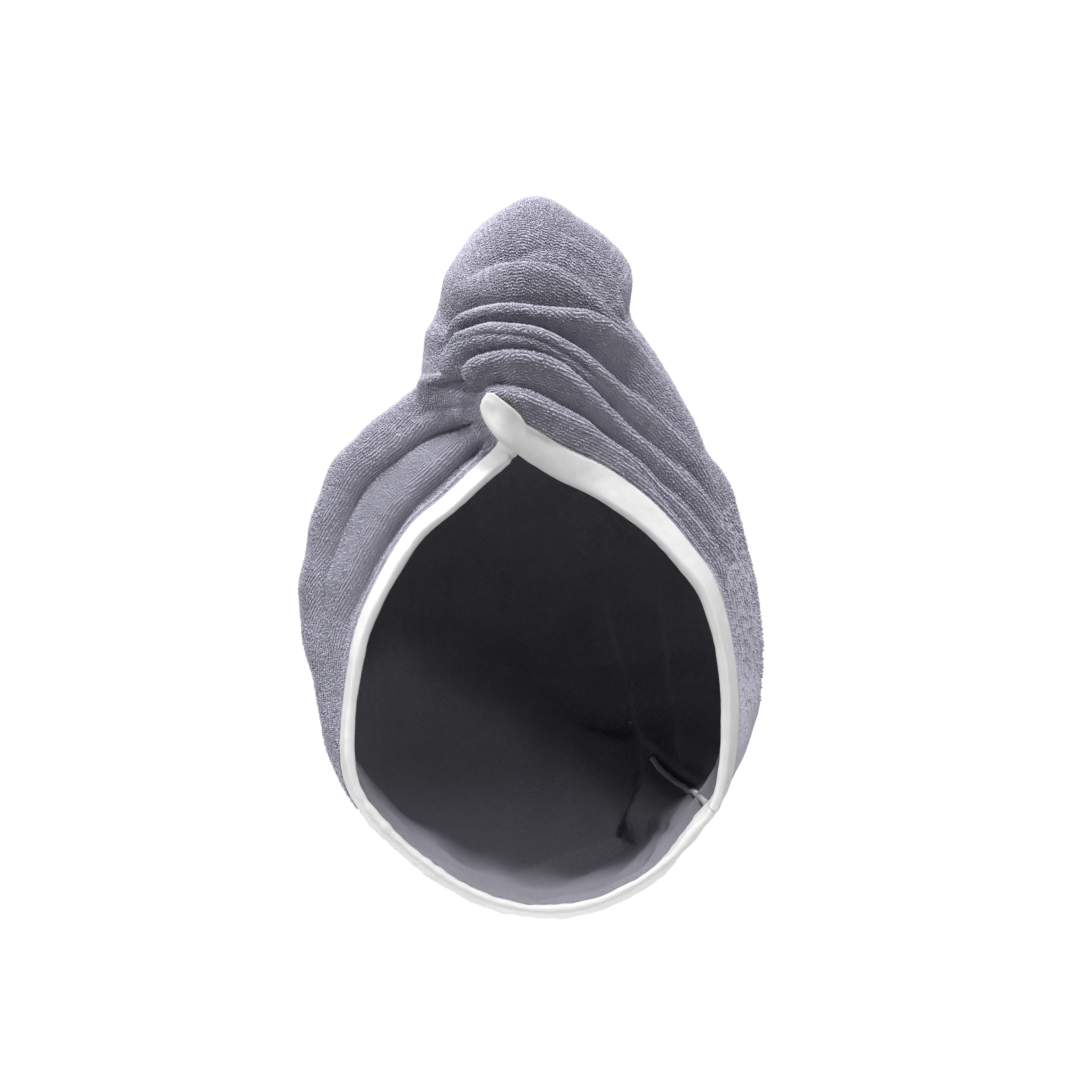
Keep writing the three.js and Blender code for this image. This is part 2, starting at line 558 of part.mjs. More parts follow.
// The twisted tail: plump strands with grooves between them that turn as they go down.
function tail() {
  const sideways = vec(1, 0, 0);
  const loops = Array.from({ length: TAIL_STEPS + 1 }, (_, i) => {
    const share = i / TAIL_STEPS;
    const middle = tailLine.getPoint(share);
    const upward = sideways.clone().cross(tailLine.getTangent(share)).normalize();
    const radius = tailRadius(share);
    const turn = share * TAIL_TURNS * 2 * Math.PI;
    return Array.from({ length: TAIL_SIDES }, (__, j) => {
      const angle = (j / TAIL_SIDES) * 2 * Math.PI;
      const lobe = Math.abs(Math.cos((TAIL_STRANDS / 2) * (angle - turn)));
      const reach = radius * (1 - (TAIL_GROOVE / TAIL_RADIUS) * (1 - lobe));
      return middle
        .clone()
        .addScaledVector(sideways, reach * Math.cos(angle))
        .addScaledVector(upward, reach * Math.sin(angle));
    });
  });
  return skin(loops, false);
}

// A lathe body turned so that its axis runs along a direction from a place.
function turned(profile, sides, origin, direction) {
  const geometry = new THREE.LatheGeometry(profile.map(([r, y]) => new THREE.Vector2(r, y)), sides);
  geometry.applyQuaternion(new THREE.Quaternion().setFromUnitVectors(vec(0, 1, 0), direction));
  geometry.translate(...origin.toArray());
  const points = [];
  for (let i = 0; i < geometry.attributes.position.count; i += 1) {
    points.push(vec(0, 0, 0).fromBufferAttribute(geometry.attributes.position, i));
  }
  return closedGeometry(points, [...geometry.index.array]);
}

const buttonAt = tailLine.getPoint(BUTTON_SHARE);
const buttonOut = vec(1, 0, 0).cross(tailLine.getTangent(BUTTON_SHARE)).normalize();
const buttonSeat = tailRadius(BUTTON_SHARE - BUTTON_RADIUS / tailLine.getLength()) + CLEARANCE;

// The button and its post as one turned piece, and the hole that the post needs.
function button() {
  const top = buttonSeat + BUTTON_THICKNESS;
  return turned([
    [0, -buttonSeat],
    [POST_RADIUS, -buttonSeat],
    [POST_RADIUS, buttonSeat],
    [BUTTON_RADIUS - BUTTON_EDGE, buttonSeat],
    [BUTTON_RADIUS, buttonSeat + BUTTON_EDGE],
    [BUTTON_RADIUS, top - BUTTON_EDGE],
    [BUTTON_RADIUS - BUTTON_EDGE, top],
    [0, top],
  ], BUTTON_SIDES, buttonAt, buttonOut);
}

function buttonhole() {
  const reach = buttonSeat * 2;
  const radius = POST_RADIUS + CLEARANCE;
  const profile = [[0, -reach], [radius, -reach], [radius, reach], [0, reach]];
  return turned(profile, BUTTON_SIDES, buttonAt, buttonOut);
}

const solidOf = (geometry) => new wasm.Manifold(new wasm.Mesh({
  numProp: 3,
  vertProperties: geometry.attributes.position.array,
  triVerts: new Uint32Array(geometry.index.array),
}));

// What is left of a body after others are cut from it, as a geometry of its largest piece.
function cut(geometry, ...tools) {
  const left = tools.reduce((solid, tool) => solid.subtract(solidOf(tool)), solidOf(geometry));
  const largest = left.decompose().sort((a, b) => b.volume() - a.volume())[0];
  const mesh = largest.getMesh();
  const made = new THREE.BufferGeometry();
  made.setAttribute("position", new THREE.BufferAttribute(mesh.vertProperties.slice(), 3));
  made.setIndex([...mesh.triVerts]);
  return made;
}

const part = new THREE.Group();

function add(name, geometry, color, roughness) {
  const mesh = new THREE.Mesh(geometry, new THREE.MeshStandardMaterial({ color, roughness, metalness: 0 }));
  mesh.name = name;
  part.add(mesh);
}

add("hood", hood(), COLOURS.terry, 0.95);
add("tail_twist", cut(tail(), hoodBlock(), buttonhole()), COLOURS.terry, 0.95);
add("over_binding", cut(overBinding(), hood(CLEARANCE / 2)), COLOURS.satin, 0.5);
add("under_binding", underBinding(), COLOURS.satin, 0.5);
add("inner_seam", cut(innerSeam(), hood(CLEARANCE / 2)), COLOURS.thread, 0.9);
add("nape_button", cut(button(), hoodBlock()), COLOURS.button, 0.4);

export default part;
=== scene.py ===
"""A hair turban towel as it is worn: terry hood with front roll, twisted tail, satin tapes, seam and button.

Metres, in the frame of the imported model: +Z is up the roll, -Y is out of the opening, and the origin is the
middle of the opening. Every surface is a grid of two parameters that numpy works out as whole arrays.
"""

import logging  # noqa: E402
import math  # noqa: E402
from dataclasses import dataclass, field  # noqa: E402
from enum import Enum  # noqa: E402
from functools import reduce  # noqa: E402

import bpy  # noqa: E402
import numpy as np  # noqa: E402
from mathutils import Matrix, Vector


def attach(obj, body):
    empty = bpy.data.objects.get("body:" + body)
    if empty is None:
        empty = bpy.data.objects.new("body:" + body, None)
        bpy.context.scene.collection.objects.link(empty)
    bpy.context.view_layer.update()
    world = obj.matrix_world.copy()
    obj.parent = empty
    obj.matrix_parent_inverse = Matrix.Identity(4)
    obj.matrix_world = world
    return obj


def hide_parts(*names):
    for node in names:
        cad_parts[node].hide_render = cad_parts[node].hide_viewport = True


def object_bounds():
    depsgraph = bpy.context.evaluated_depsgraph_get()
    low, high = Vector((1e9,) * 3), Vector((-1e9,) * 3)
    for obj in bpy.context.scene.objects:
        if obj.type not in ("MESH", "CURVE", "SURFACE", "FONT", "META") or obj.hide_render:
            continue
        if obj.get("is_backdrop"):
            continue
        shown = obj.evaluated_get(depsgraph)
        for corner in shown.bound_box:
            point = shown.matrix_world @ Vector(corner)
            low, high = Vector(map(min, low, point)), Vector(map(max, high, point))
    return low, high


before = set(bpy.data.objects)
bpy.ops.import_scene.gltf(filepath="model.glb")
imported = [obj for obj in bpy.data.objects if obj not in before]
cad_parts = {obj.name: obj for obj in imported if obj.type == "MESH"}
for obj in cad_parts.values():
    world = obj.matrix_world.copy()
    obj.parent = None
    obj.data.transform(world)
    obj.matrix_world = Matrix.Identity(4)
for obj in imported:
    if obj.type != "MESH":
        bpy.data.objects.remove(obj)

Array = np.ndarray
Point = tuple[float, float]
Colour = tuple[float, float, float, float]

LOG = logging.getLogger("hair_turban_towel")
ROOT = "root"
CAD_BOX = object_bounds()

# The photograph's frame: its middle, the opening's middle in it, and the real size of one pixel.
PHOTO_SIZE = 1080
PHOTO_OPENING_Y = 683
PIXEL = 0.00044

# Sections of the hood, clockwise from the crossing as one looks in, as the part's own table has them.
# rim_x and rim_z: the finished edge, as shares of the opening's half width and half height. crest_x and
# crest_z: the outline, as shares of the hood's half width and the roll's height. edge_y and crest_y: how far
# back the edge and the outline lie, as shares of the hood's depth. lean: degrees by which the cloth at the
# edge turns back from facing the front.
SECTION_NAMES = ("rim_x", "rim_z", "crest_x", "crest_z", "edge_y", "crest_y", "lean")
SECTIONS = np.array(
    [
        (-0.13, 1.02, -0.15, 0.985, -0.01, 0.32, -12),
        (-0.04, 0.98, 0.03, 1.0, -0.01, 0.34, -14),
        (0.06, 0.93, 0.26, 0.94, -0.01, 0.34, -10),
        (0.17, 0.88, 0.4, 0.87, -0.01, 0.33, 0),
        (0.28, 0.83, 0.44, 0.76, 0.0, 0.33, 14),
        (0.42, 0.76, 0.54, 0.655, 0.01, 0.34, 28),
        (0.58, 0.66, 0.68, 0.543, 0.02, 0.34, 44),
        (0.75, 0.52, 0.81, 0.436, 0.03, 0.34, 58),
        (0.89, 0.37, 0.91, 0.306, 0.04, 0.34, 68),
        (0.98, 0.12, 0.97, 0.151, 0.05, 0.34, 76),
        (1.01, -0.16, 0.96, -0.035, 0.05, 0.31, 78),
        (0.97, -0.48, 0.85, -0.192, 0.03, 0.21, 76),
        (0.84, -0.64, 0.7, -0.289, 0.02, 0.12, 72),
        (0.61, -0.82, 0.5, -0.405, 0.01, 0.1, 68),
        (0.28, -0.95, 0.23, -0.469, 0.0, 0.1, 66),
        (-0.06, -0.97, -0.04, -0.479, 0.0, 0.1, 66),
        (-0.39, -0.89, -0.33, -0.44, 0.0, 0.1, 66),
        (-0.72, -0.71, -0.6, -0.353, 0.01, 0.1, 70),
        (-0.95, -0.52, -0.79, -0.258, 0.02, 0.13, 74),
        (-1.03, -0.34, -0.9, -0.167, 0.03, 0.21, 78),
        (-1.02, -0.1, -0.98, -0.01, 0.05, 0.29, 80),
        (-0.95, 0.2, -1.03, 0.147, 0.05, 0.34, 76),
        (-0.82, 0.42, -0.99, 0.3, 0.04, 0.36, 66),
        (-0.65, 0.63, -0.9, 0.428, 0.03, 0.36, 58),
        (-0.47, 0.75, -0.76, 0.51, 0.02, 0.34, 52),
        (-0.31, 0.87, -0.6, 0.568, 0.01, 0.33, 48),
        (-0.22, 0.93, -0.51, 0.609, 0.0, 0.32, 40),
        (-0.18, 0.96, -0.52, 0.667, -0.01, 0.32, 30),
        (-0.16, 0.99, -0.46, 0.779, -0.01, 0.3, 16),
        (-0.14, 1.0, -0.34, 0.901, -0.01, 0.3, 0),
    ]
)
# How many grid columns lie between a section and the next one: most where the folds show.
SECTION_COLUMNS = (
    19, 17, 16, 15, 15, 15, 15, 15, 14, 12, 11, 9, 8, 7, 7,
    7, 7, 8, 9, 10, 12, 14, 14, 14, 14, 14, 14, 16, 18, 20,
)
SEAM_START = 15  # the section at the bottom where the grid starts
TAPE_JOIN = 11.33  # the section where the two tapes meet
# Sections where the narrow left tape starts and ends, each with its fade's reach.
LEFT_TAPE = (16, 4, 30.4, 0.9)
BACK_POWER = 2.3  # of the curve from the outline to the back, where 2 is an ellipse
# Where the stretches of the pile meet: first a section, then how many sections before and after section 0.
PILE_LEFT_START, PILE_ROLL_LEFT, PILE_ROLL_RIGHT, PILE_RIGHT_END = 18.0, 2.3, 3.5, 12.0
MEASURED_ROW = 60  # the row of the hood's outside whose length gives the flat u of every row
INNER = "inner"  # the vertex attribute of painted shade: 1 on the lining, and less at its bottom
ROLL_POWER = 6  # of the cosine by which the roll's height dies away towards the back

# The line where the roll lies over the left panel, from its left end to the crossing: across and up, as
# shares of the hood's half width and the roll's height.
TUCK_LINE = (
    (-0.53, 0.6), (-0.44, 0.62), (-0.36, 0.625), (-0.28, 0.615), (-0.245, 0.595), (-0.25, 0.565),
    (-0.22, 0.535), (-0.165, 0.5), (-0.1, 0.475),
)

# The middle line of the tail: back and up, as shares of the hood's depth and the roll's height, and its
# thickness as a share of the way from the tip's radius to the first radius.
TAIL_ROWS = np.array(
    [
        (0.4, 0.808, 1.0),
        (0.57, 0.795, 0.97),
        (0.78, 0.7, 0.86),
        (0.97, 0.52, 0.72),
        (1.09, 0.29, 0.58),
        (1.13, 0.05, 0.44),
        (1.05, -0.18, 0.28),
        (0.84, -0.36, 0.12),
        (0.75, -0.395, 0.0),
    ]
)


class Slot(Enum):
    """The record's material slots."""

    TERRY = "terry"
    SATIN = "satin"
    THREAD = "thread"
    BUTTON = "button"


class Steep(Enum):
    """The side of a crease on which the cloth rises sharply, as one follows it clockwise round the opening."""

    INNER = 1
    OUTER = -1


@dataclass(frozen=True)
class Crease:
    """A fold of the cloth, as seen from the front.

    Attributes:
        line: its points in the photograph's pixels, clockwise round the opening.
        depth: how deep the valley is, in millimetres.
        short: the reach of its steep side, in millimetres.
        long: the reach of its gentle side, in millimetres.
        crest: height of the ridge beside the steep side, as a share of the depth.
        steep: which side is the steep one.
        fade: share of the line over which the fold comes and goes at its first and its last end.
    """

    line: tuple[Point, ...]
    depth: float
    short: float = 1.6
    long: float = 6.0
    crest: float = 0.6
    steep: Steep = Steep.INNER
    fade: Point = (0.15, 0.2)


FRONT_CREASES = {
    "shoulder": Crease(
        ((560, 228), (576, 235), (597, 249), (615, 267), (628, 290), (637, 313), (642, 335)), 4.0, 1.6, 5.5
    ),
    "crown_hollow": Crease(
        ((452, 285), (480, 268), (510, 254), (545, 244), (575, 252), (600, 271), (620, 296), (634, 320)),
        2.6, 4.0, 8.0, 0.35,
    ),
    "second_band": Crease(
        ((488, 263), (517, 260), (542, 262), (565, 270), (585, 282), (603, 297), (619, 313), (640, 330),
         (658, 352)),
        5.2, 1.5, 7.5, 0.6,
    ),
    "third_band": Crease(
        ((436, 336), (443, 322), (455, 312), (476, 305), (506, 302), (536, 304), (566, 307), (590, 311),
         (617, 326), (645, 350), (672, 384)), 5.0, 1.4, 7.0, 0.65, fade=(0.12, 0.25),
    ),
    "fourth_band": Crease(
        ((441, 377), (440, 366), (442, 354), (447, 343), (456, 332), (471, 326), (487, 322), (510, 323),
         (535, 326), (553, 332), (571, 341), (589, 353), (606, 368), (624, 383), (647, 401), (667, 418),
         (686, 436), (702, 453), (716, 472), (727, 498)),
        7.5, 1.3, 6.5, 0.55, fade=(0.04, 0.12),
    ),
    "fifth_band": Crease(
        ((462, 383), (462, 372), (469, 361), (482, 354), (507, 350), (535, 352), (560, 362), (580, 377),
         (602, 397), (637, 431), (658, 447), (676, 463), (693, 479), (709, 497), (722, 515), (733, 536),
         (742, 560), (749, 592)),
        4.6, 1.2, 4.8, 0.55, fade=(0.06, 0.15),
    ),
    "sixth_band": Crease(
        ((482, 391), (492, 386), (511, 387), (529, 391), (542, 396), (555, 403), (571, 411), (589, 421),
         (600, 430), (616, 442), (633, 455), (647, 466), (664, 482), (679, 496), (693, 512), (707, 530),
         (719, 548), (729, 568), (738, 592), (744, 618)), 4.6, 1.2, 4.8, 0.55, fade=(0.08, 0.2),
    ),
    "tuck": Crease(
        ((430, 385), (437, 382), (445, 380), (454, 379), (463, 380), (471, 382), (479, 387), (486, 393)),
        4.0, 1.6, 4.0, 0.1, Steep.OUTER, (0.35, 0.1),
    ),
    "wound_layer": Crease(
        ((450, 362), (454, 350), (462, 341), (476, 336), (498, 334), (530, 338), (560, 350), (590, 372),
         (614, 394)), 2.0, 1.2, 3.2, 0.5,
    ),
    "hem_valley": Crease(
        ((600, 447), (622, 460), (640, 474), (655, 489), (667, 504), (679, 520), (691, 536), (706, 556),
         (717, 579), (725, 602), (730, 628)), 3.2, 1.5, 3.6, 0.35, fade=(0.3, 0.2),
    ),
    "flank_pleat": Crease(
        ((668, 446), (688, 464), (705, 482), (720, 502), (733, 526), (745, 556), (752, 590), (757, 628),
         (757, 660)), 3.0, 1.4, 4.4, 0.45, fade=(0.25, 0.25),
    ),
    "ear_pleat": Crease(
        ((716, 566), (727, 590), (735, 617), (741, 652), (744, 690), (740, 730)), 3.4, 1.4, 3.2, 0.45,
        fade=(0.25, 0.3)
    ),
    "ear_hollow": Crease(
        ((724, 600), (730, 625), (735, 660), (736, 700), (733, 745)), 2.2, 1.2, 2.6, 0.35, fade=(0.25, 0.3)
    ),
    "left_outer": Crease(
        ((325, 720), (322, 680), (320, 620), (324, 570), (337, 526), (358, 489), (388, 458), (419, 437),
         (449, 427), (482, 422)), 6.0, 2.8, 9.0, 0.6, Steep.OUTER, (0.55, 0.08),
    ),
    "left_inner": Crease(
        ((345, 700), (343, 660), (345, 626), (354, 597), (368, 566), (387, 534), (411, 505), (437, 479),
         (462, 456), (492, 436)), 5.0, 2.2, 6.5, 0.6, Steep.OUTER, (0.45, 0.08),
    ),
    "left_top": Crease(
        ((352, 474), (374, 452), (400, 430), (428, 413), (456, 405), (480, 404)), 2.4, 3.0, 7.0, 0.4,
        Steep.OUTER, (0.35, 0.1),
    ),
}

# The flat end of the right tape past the crossing, in the photograph's pixels: upper edge, then lower edge.
TAPE_END = (
    ((487, 393), (484, 397)),
    ((493, 394), (482, 407)),
    ((501, 400), (487, 421)),
    ((510, 407), (499, 437)),
    ((520, 416), (515, 449)),
)

# The overlocked seam inside, from the depth of the hood to the edge of the opening.
SEAM_LINE = ((655, 765), (663, 774), (672, 782), (681, 788), (691, 794), (700, 799), (708, 804))

# Folds of the lining, seen through the opening.
LINING_CREASES = {
    "bottom_flap": Crease(
        ((660, 834), (642, 840), (604, 855), (569, 868), (540, 879), (512, 888)), 3.0, 1.4, 9.0, 0.4,
        Steep.OUTER, (0.1, 0.3),
    ),
    "side_flap": Crease(
        ((646, 850), (640, 834), (650, 808), (651, 775), (650, 749), (644, 733), (636, 698), (623, 649),
         (609, 600), (600, 560)), 7.0, 1.8, 14.0, 0.35, Steep.OUTER, (0.1, 0.45),
    ),
    "second_flap": Crease(
        ((694, 780), (690, 745), (682, 698), (672, 628), (664, 580)), 2.6, 2.0, 8.0, 0.4, Steep.OUTER,
        (0.2, 0.4)
    ),
    "back_ridge": Crease(
        ((560, 722), (581, 733), (609, 744), (647, 742)), 3.0, 3.0, 10.0, 0.4, Steep.OUTER, (0.35, 0.1)
    ),
    "seam_flap": Crease(
        ((712, 796), (700, 787), (686, 777), (668, 763), (653, 753)), 3.4, 1.4, 6.0, 0.4, Steep.OUTER,
        (0.1, 0.2)
    ),
}


def smooth(value: Array) -> Array:
    """The smoothstep of values kept from 0 to 1: three of its squares less two of its cubes."""
    kept = np.clip(value, 0.0, 1.0)
    return kept * kept * (3.0 - 2.0 * kept)


def unit(vectors: Array) -> Array:
    """Vectors over their own lengths."""
    return vectors / np.maximum(np.linalg.norm(vectors, axis=-1, keepdims=True), 1e-12)


def spline(rows: Array, places: Array, closed: bool = False) -> Array:
    """Reads a table of rows between its rows.

    The cubic passes through each row with the slope of the chord between that row's neighbours.

    Args:
        rows: the table, one row for each whole place.
        places: where to read it, in rows.
        closed: whether the first row follows the last one.

    Returns:
        One row for each place.
    """
    count = len(rows)
    first = np.floor(places).astype(int)
    if not closed:
        first = np.clip(first, 0, count - 2)
    share = (places - first)[..., None]

    def row(step: int) -> Array:
        """The rows that lie a step from the first ones."""
        index = first + step
        return rows[index % count] if closed else rows[np.clip(index, 0, count - 1)]

    before, here, after, last = (row(step) for step in (-1, 0, 1, 2))
    square = 2 * before - 5 * here + 4 * after - last
    cube = 3 * (here - after) + last - before
    return 0.5 * (2 * here + share * (after - before + share * (square + share * cube)))


def seen_from_front(pixels: tuple[Point, ...]) -> Array:
    """Pixels of the photograph as x and z of the frame."""
    across, down = np.array(pixels, float).T
    return np.stack([(across - PHOTO_SIZE / 2) * PIXEL, (PHOTO_OPENING_Y - down) * PIXEL], axis=1)


def nearest_on(line: Array, x: Array, z: Array) -> tuple[Array, Array]:
    """The nearest place of a line, seen from the front.

    Each point is dropped on every piece of the line, and the nearest foot is kept. The distance is above
    zero on the line's right hand, where the opening is.

    Args:
        line: points of the line as rows of x and z.
        x: where the points lie across.
        z: how high they lie.

    Returns:
        The signed distance, and how far along the line the foot is, from 0 to 1.
    """
    start, step = line[:-1], np.diff(line, axis=0)
    dx, dz = x[:, None] - start[:, 0], z[:, None] - start[:, 1]
    share = np.clip((dx * step[:, 0] + dz * step[:, 1]) / (step**2).sum(axis=1), 0.0, 1.0)
    off_x, off_z = dx - share * step[:, 0], dz - share * step[:, 1]
    distance = np.hypot(off_x, off_z)
    piece = distance.argmin(axis=1)
    pick = np.arange(len(x)), piece
    left = step[piece, 0] * off_z[pick] - step[piece, 1] * off_x[pick]
    return -np.sign(left) * distance[pick], (piece + share[pick]) / len(step)


def ripple(points: Array, wavelength: float, seed: int, waves: int = 12) -> Array:
    """Soft irregular waves in space: the mean of cosines in seeded directions, from about -1 to 1.

    Args:
        points: where to read them, with x, y and z on the last axis.
        wavelength: the length of the waves.
        seed: which waves these are.
        waves: how many are added up.

    Returns:
        The height at each point.
    """
    dice = np.random.default_rng(seed)
    ways = unit(dice.normal(size=(waves, 3))) * (2 * math.pi / wavelength) * dice.uniform(0.6, 1.4, (waves, 1))
    turns = dice.uniform(0, 2 * math.pi, waves)
    return np.cos(points @ ways.T + turns).sum(axis=-1) / math.sqrt(waves)


@dataclass
class Patch:
    """A grid of points with its faces and its flat coordinates.

    Attributes:
        points: the vertices, one row each.
        faces: rows of three or four vertex numbers, with -1 for a missing fourth.
        flat: the flat coordinates of each face's corners, in metres, as rows of u and v.
    """

    points: Array
    faces: Array
    flat: Array

    def joined(self, other: "Patch") -> "Patch":
        """This patch and another one as one.

        Args:
            other: the other patch.

        Returns:
            The joined patch.
        """
        moved = np.where(other.faces < 0, -1, other.faces + len(self.points))
        return Patch(
            np.vstack([self.points, other.points]),
            np.vstack([self.faces, moved]),
            np.vstack([self.flat, other.flat]),
        )


def grid_patch(points: Array, u: Array, v: Array, closed_u: bool = False, closed_v: bool = False) -> Patch:
    """A grid as a patch of quads that face along the cross product of u and v.

    Args:
        points: the grid, with u on the first axis and v on the second one.
        u: flat u of every grid point, one column or row more where the grid closes.
        v: flat v of every grid point, likewise.
        closed_u: whether the last row meets the first one.
        closed_v: whether the last column meets the first one.

    Returns:
        The patch.
    """
    rows, columns = points.shape[:2]
    i, j = np.meshgrid(
        np.arange(rows if closed_u else rows - 1),
        np.arange(columns if closed_v else columns - 1),
        indexing="ij",
    )
    i, j = i.ravel(), j.ravel()
    corners = [(i, j), (i + 1, j), (i + 1, j + 1), (i, j + 1)]
    faces = np.stack([(a % rows) * columns + b % columns for a, b in corners], axis=1)
    flat = np.stack([np.stack([u[a, b], v[a, b]], axis=1) for a, b in corners], axis=1)
    return Patch(points.reshape(-1, 3), faces, flat)


def capped(patch: Patch, loop: Array, flipped: bool) -> Patch:
    """A patch with a fan of triangles over a loop of its points.

    Args:
        patch: the patch.
        loop: numbers of the loop's points, in order.
        flipped: whether the fan runs against the loop.

    Returns:
        The patch with its fan and the fan's middle point.
    """
    middle = len(patch.points)
    after = np.roll(loop, -1)
    first, second = (loop, after) if flipped else (after, loop)
    fan = np.stack([np.full(len(loop), middle), first, second, np.full(len(loop), -1)], axis=1)
    points = np.vstack([patch.points, patch.points[loop].mean(axis=0)])
    flat = np.zeros((len(loop), 4, 2))
    return Patch(points, np.vstack([patch.faces, fan]), np.vstack([patch.flat, flat]))


def strip_capped(patch: Patch, loop: Array, flipped: bool) -> Patch:
    """A patch with quads over one end of a flat loop, which join the opposite points of its two sides.

    Args:
        patch: the patch.
        loop: numbers of the loop's points: a tip, one side, the other tip, and the other side back.
        flipped: whether the quads run against the loop.

    Returns:
        The patch with its end closed.
    """
    half = len(loop) // 2
    there, back = loop[: half + 1], np.append(loop[0], loop[:half - 1:-1])
    quads = np.stack([there[1:-2], there[2:-1], back[2:-1], back[1:-2]], axis=1)
    tips = np.array([[there[0], there[1], back[1], -1], [there[-1], back[-2], there[-2], -1]])
    if flipped:
        quads, tips = quads[:, ::-1], tips[:, [0, 2, 1, 3]]
    faces = np.vstack([patch.faces, quads, tips])
    flat = np.zeros((len(quads) + 2, 4, 2))
    return Patch(patch.points, faces, np.vstack([patch.flat, flat]))


def turned_out(patch: Patch) -> Patch:
    """A closed patch with its faces turned outwards, by the sign of the volume that they enclose.

    Args:
        patch: the closed patch.

    Returns:
        The patch, turned where it was the wrong way.
    """
    corners = patch.points[patch.faces]
    last = np.where(patch.faces[:, 3:4] < 0, corners[:, 2], corners[:, 3])
    first, second, third = corners[:, 0], corners[:, 1], corners[:, 2]
    volume = (first * (np.cross(second, third) + np.cross(third, last))).sum()
    if volume > 0:
        return patch
    order = np.array([2, 1, 0, 3])
    triangle = patch.faces[:, 3:4] < 0
    faces = np.where(triangle, patch.faces[:, order], patch.faces[:, ::-1])
    flat = np.where(triangle[..., None], patch.flat[:, order], patch.flat[:, ::-1])
    return Patch(patch.points, faces, flat)


def tube(line: Array, radius: float, sides: int = 8) -> Patch:
    """A round thread along a line, with both ends closed.

    Args:
        line: points of its middle.
        radius: half its thickness.
        sides: points round it.

    Returns:
        The closed patch.
    """
    along = unit(np.gradient(line, axis=0))
    helper = np.where(np.abs(along[:, :1]) < 0.8, np.array([[1.0, 0.0, 0.0]]), np.array([[0.0, 1.0, 0.0]]))
    first = unit(np.cross(along, helper))
    second = np.cross(along, first)
    angle = np.linspace(0, 2 * math.pi, sides, endpoint=False)[None, :, None]
    grid = line[:, None] + radius * (np.cos(angle) * first[:, None] + np.sin(angle) * second[:, None])
    u = np.repeat(lengths_along(line[:, None], axis=0), sides + 1, axis=1)
    v = np.repeat(np.linspace(0, 2 * math.pi * radius, sides + 1)[None], len(line), axis=0)
    patch = grid_patch(grid, u, v, closed_v=True)
    ring = np.arange(sides)
    patch = capped(patch, ring, flipped=True)
    return turned_out(capped(patch, ring + (len(line) - 1) * sides, flipped=False))


def lengths_along(points: Array, axis: int) -> Array:
    """The length of a grid's lines from their first point to each point, along one axis.

    Args:
        points: the grid.
        axis: which of its axes.

    Returns:
        One length for each point.
    """
    steps = np.linalg.norm(np.diff(points, axis=axis), axis=-1)
    pad = [(0, 0), (0, 0)]
    pad[axis] = (1, 0)
    return np.pad(np.cumsum(steps, axis=axis), pad)


def make_piece(name: str, patch: Patch, material: bpy.types.Material) -> bpy.types.Object:
    """Puts a patch into a smooth mesh that rides on the part's one body.

    Args:
        name: the piece's name.
        patch: its points, faces and flat coordinates.
        material: its finish.

    Returns:
        The new object.
    """
    sizes = np.where(patch.faces[:, 3] < 0, 3, 4)
    used = patch.faces >= 0
    corners = patch.faces[used]
    mesh = bpy.data.meshes.new(name)
    mesh.vertices.add(len(patch.points))
    mesh.vertices.foreach_set("co", patch.points.astype(np.float32).ravel())
    mesh.loops.add(len(corners))
    mesh.loops.foreach_set("vertex_index", corners.astype(np.int32))
    mesh.polygons.add(len(patch.faces))
    mesh.polygons.foreach_set("loop_start", (np.cumsum(sizes) - sizes).astype(np.int32))
    mesh.polygons.foreach_set("use_smooth", np.ones(len(patch.faces), bool))
    layer = mesh.uv_layers.new(name="cloth")
    layer.data.foreach_set("uv", patch.flat[used].astype(np.float32).ravel())
    mesh.materials.append(material)
    mesh.update()
    mesh.validate()
    piece = bpy.data.objects.new(name, mesh)
    bpy.context.scene.collection.objects.link(piece)
    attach(piece, ROOT)
    LOG.info("%s: %d faces", name, len(mesh.polygons))
    return piece


def toned(colour: Colour, share: float) -> Colour:
    """An opaque colour made darker, or lighter with a share above 1."""
    return (*(share * part for part in colour[:3]), 1.0)


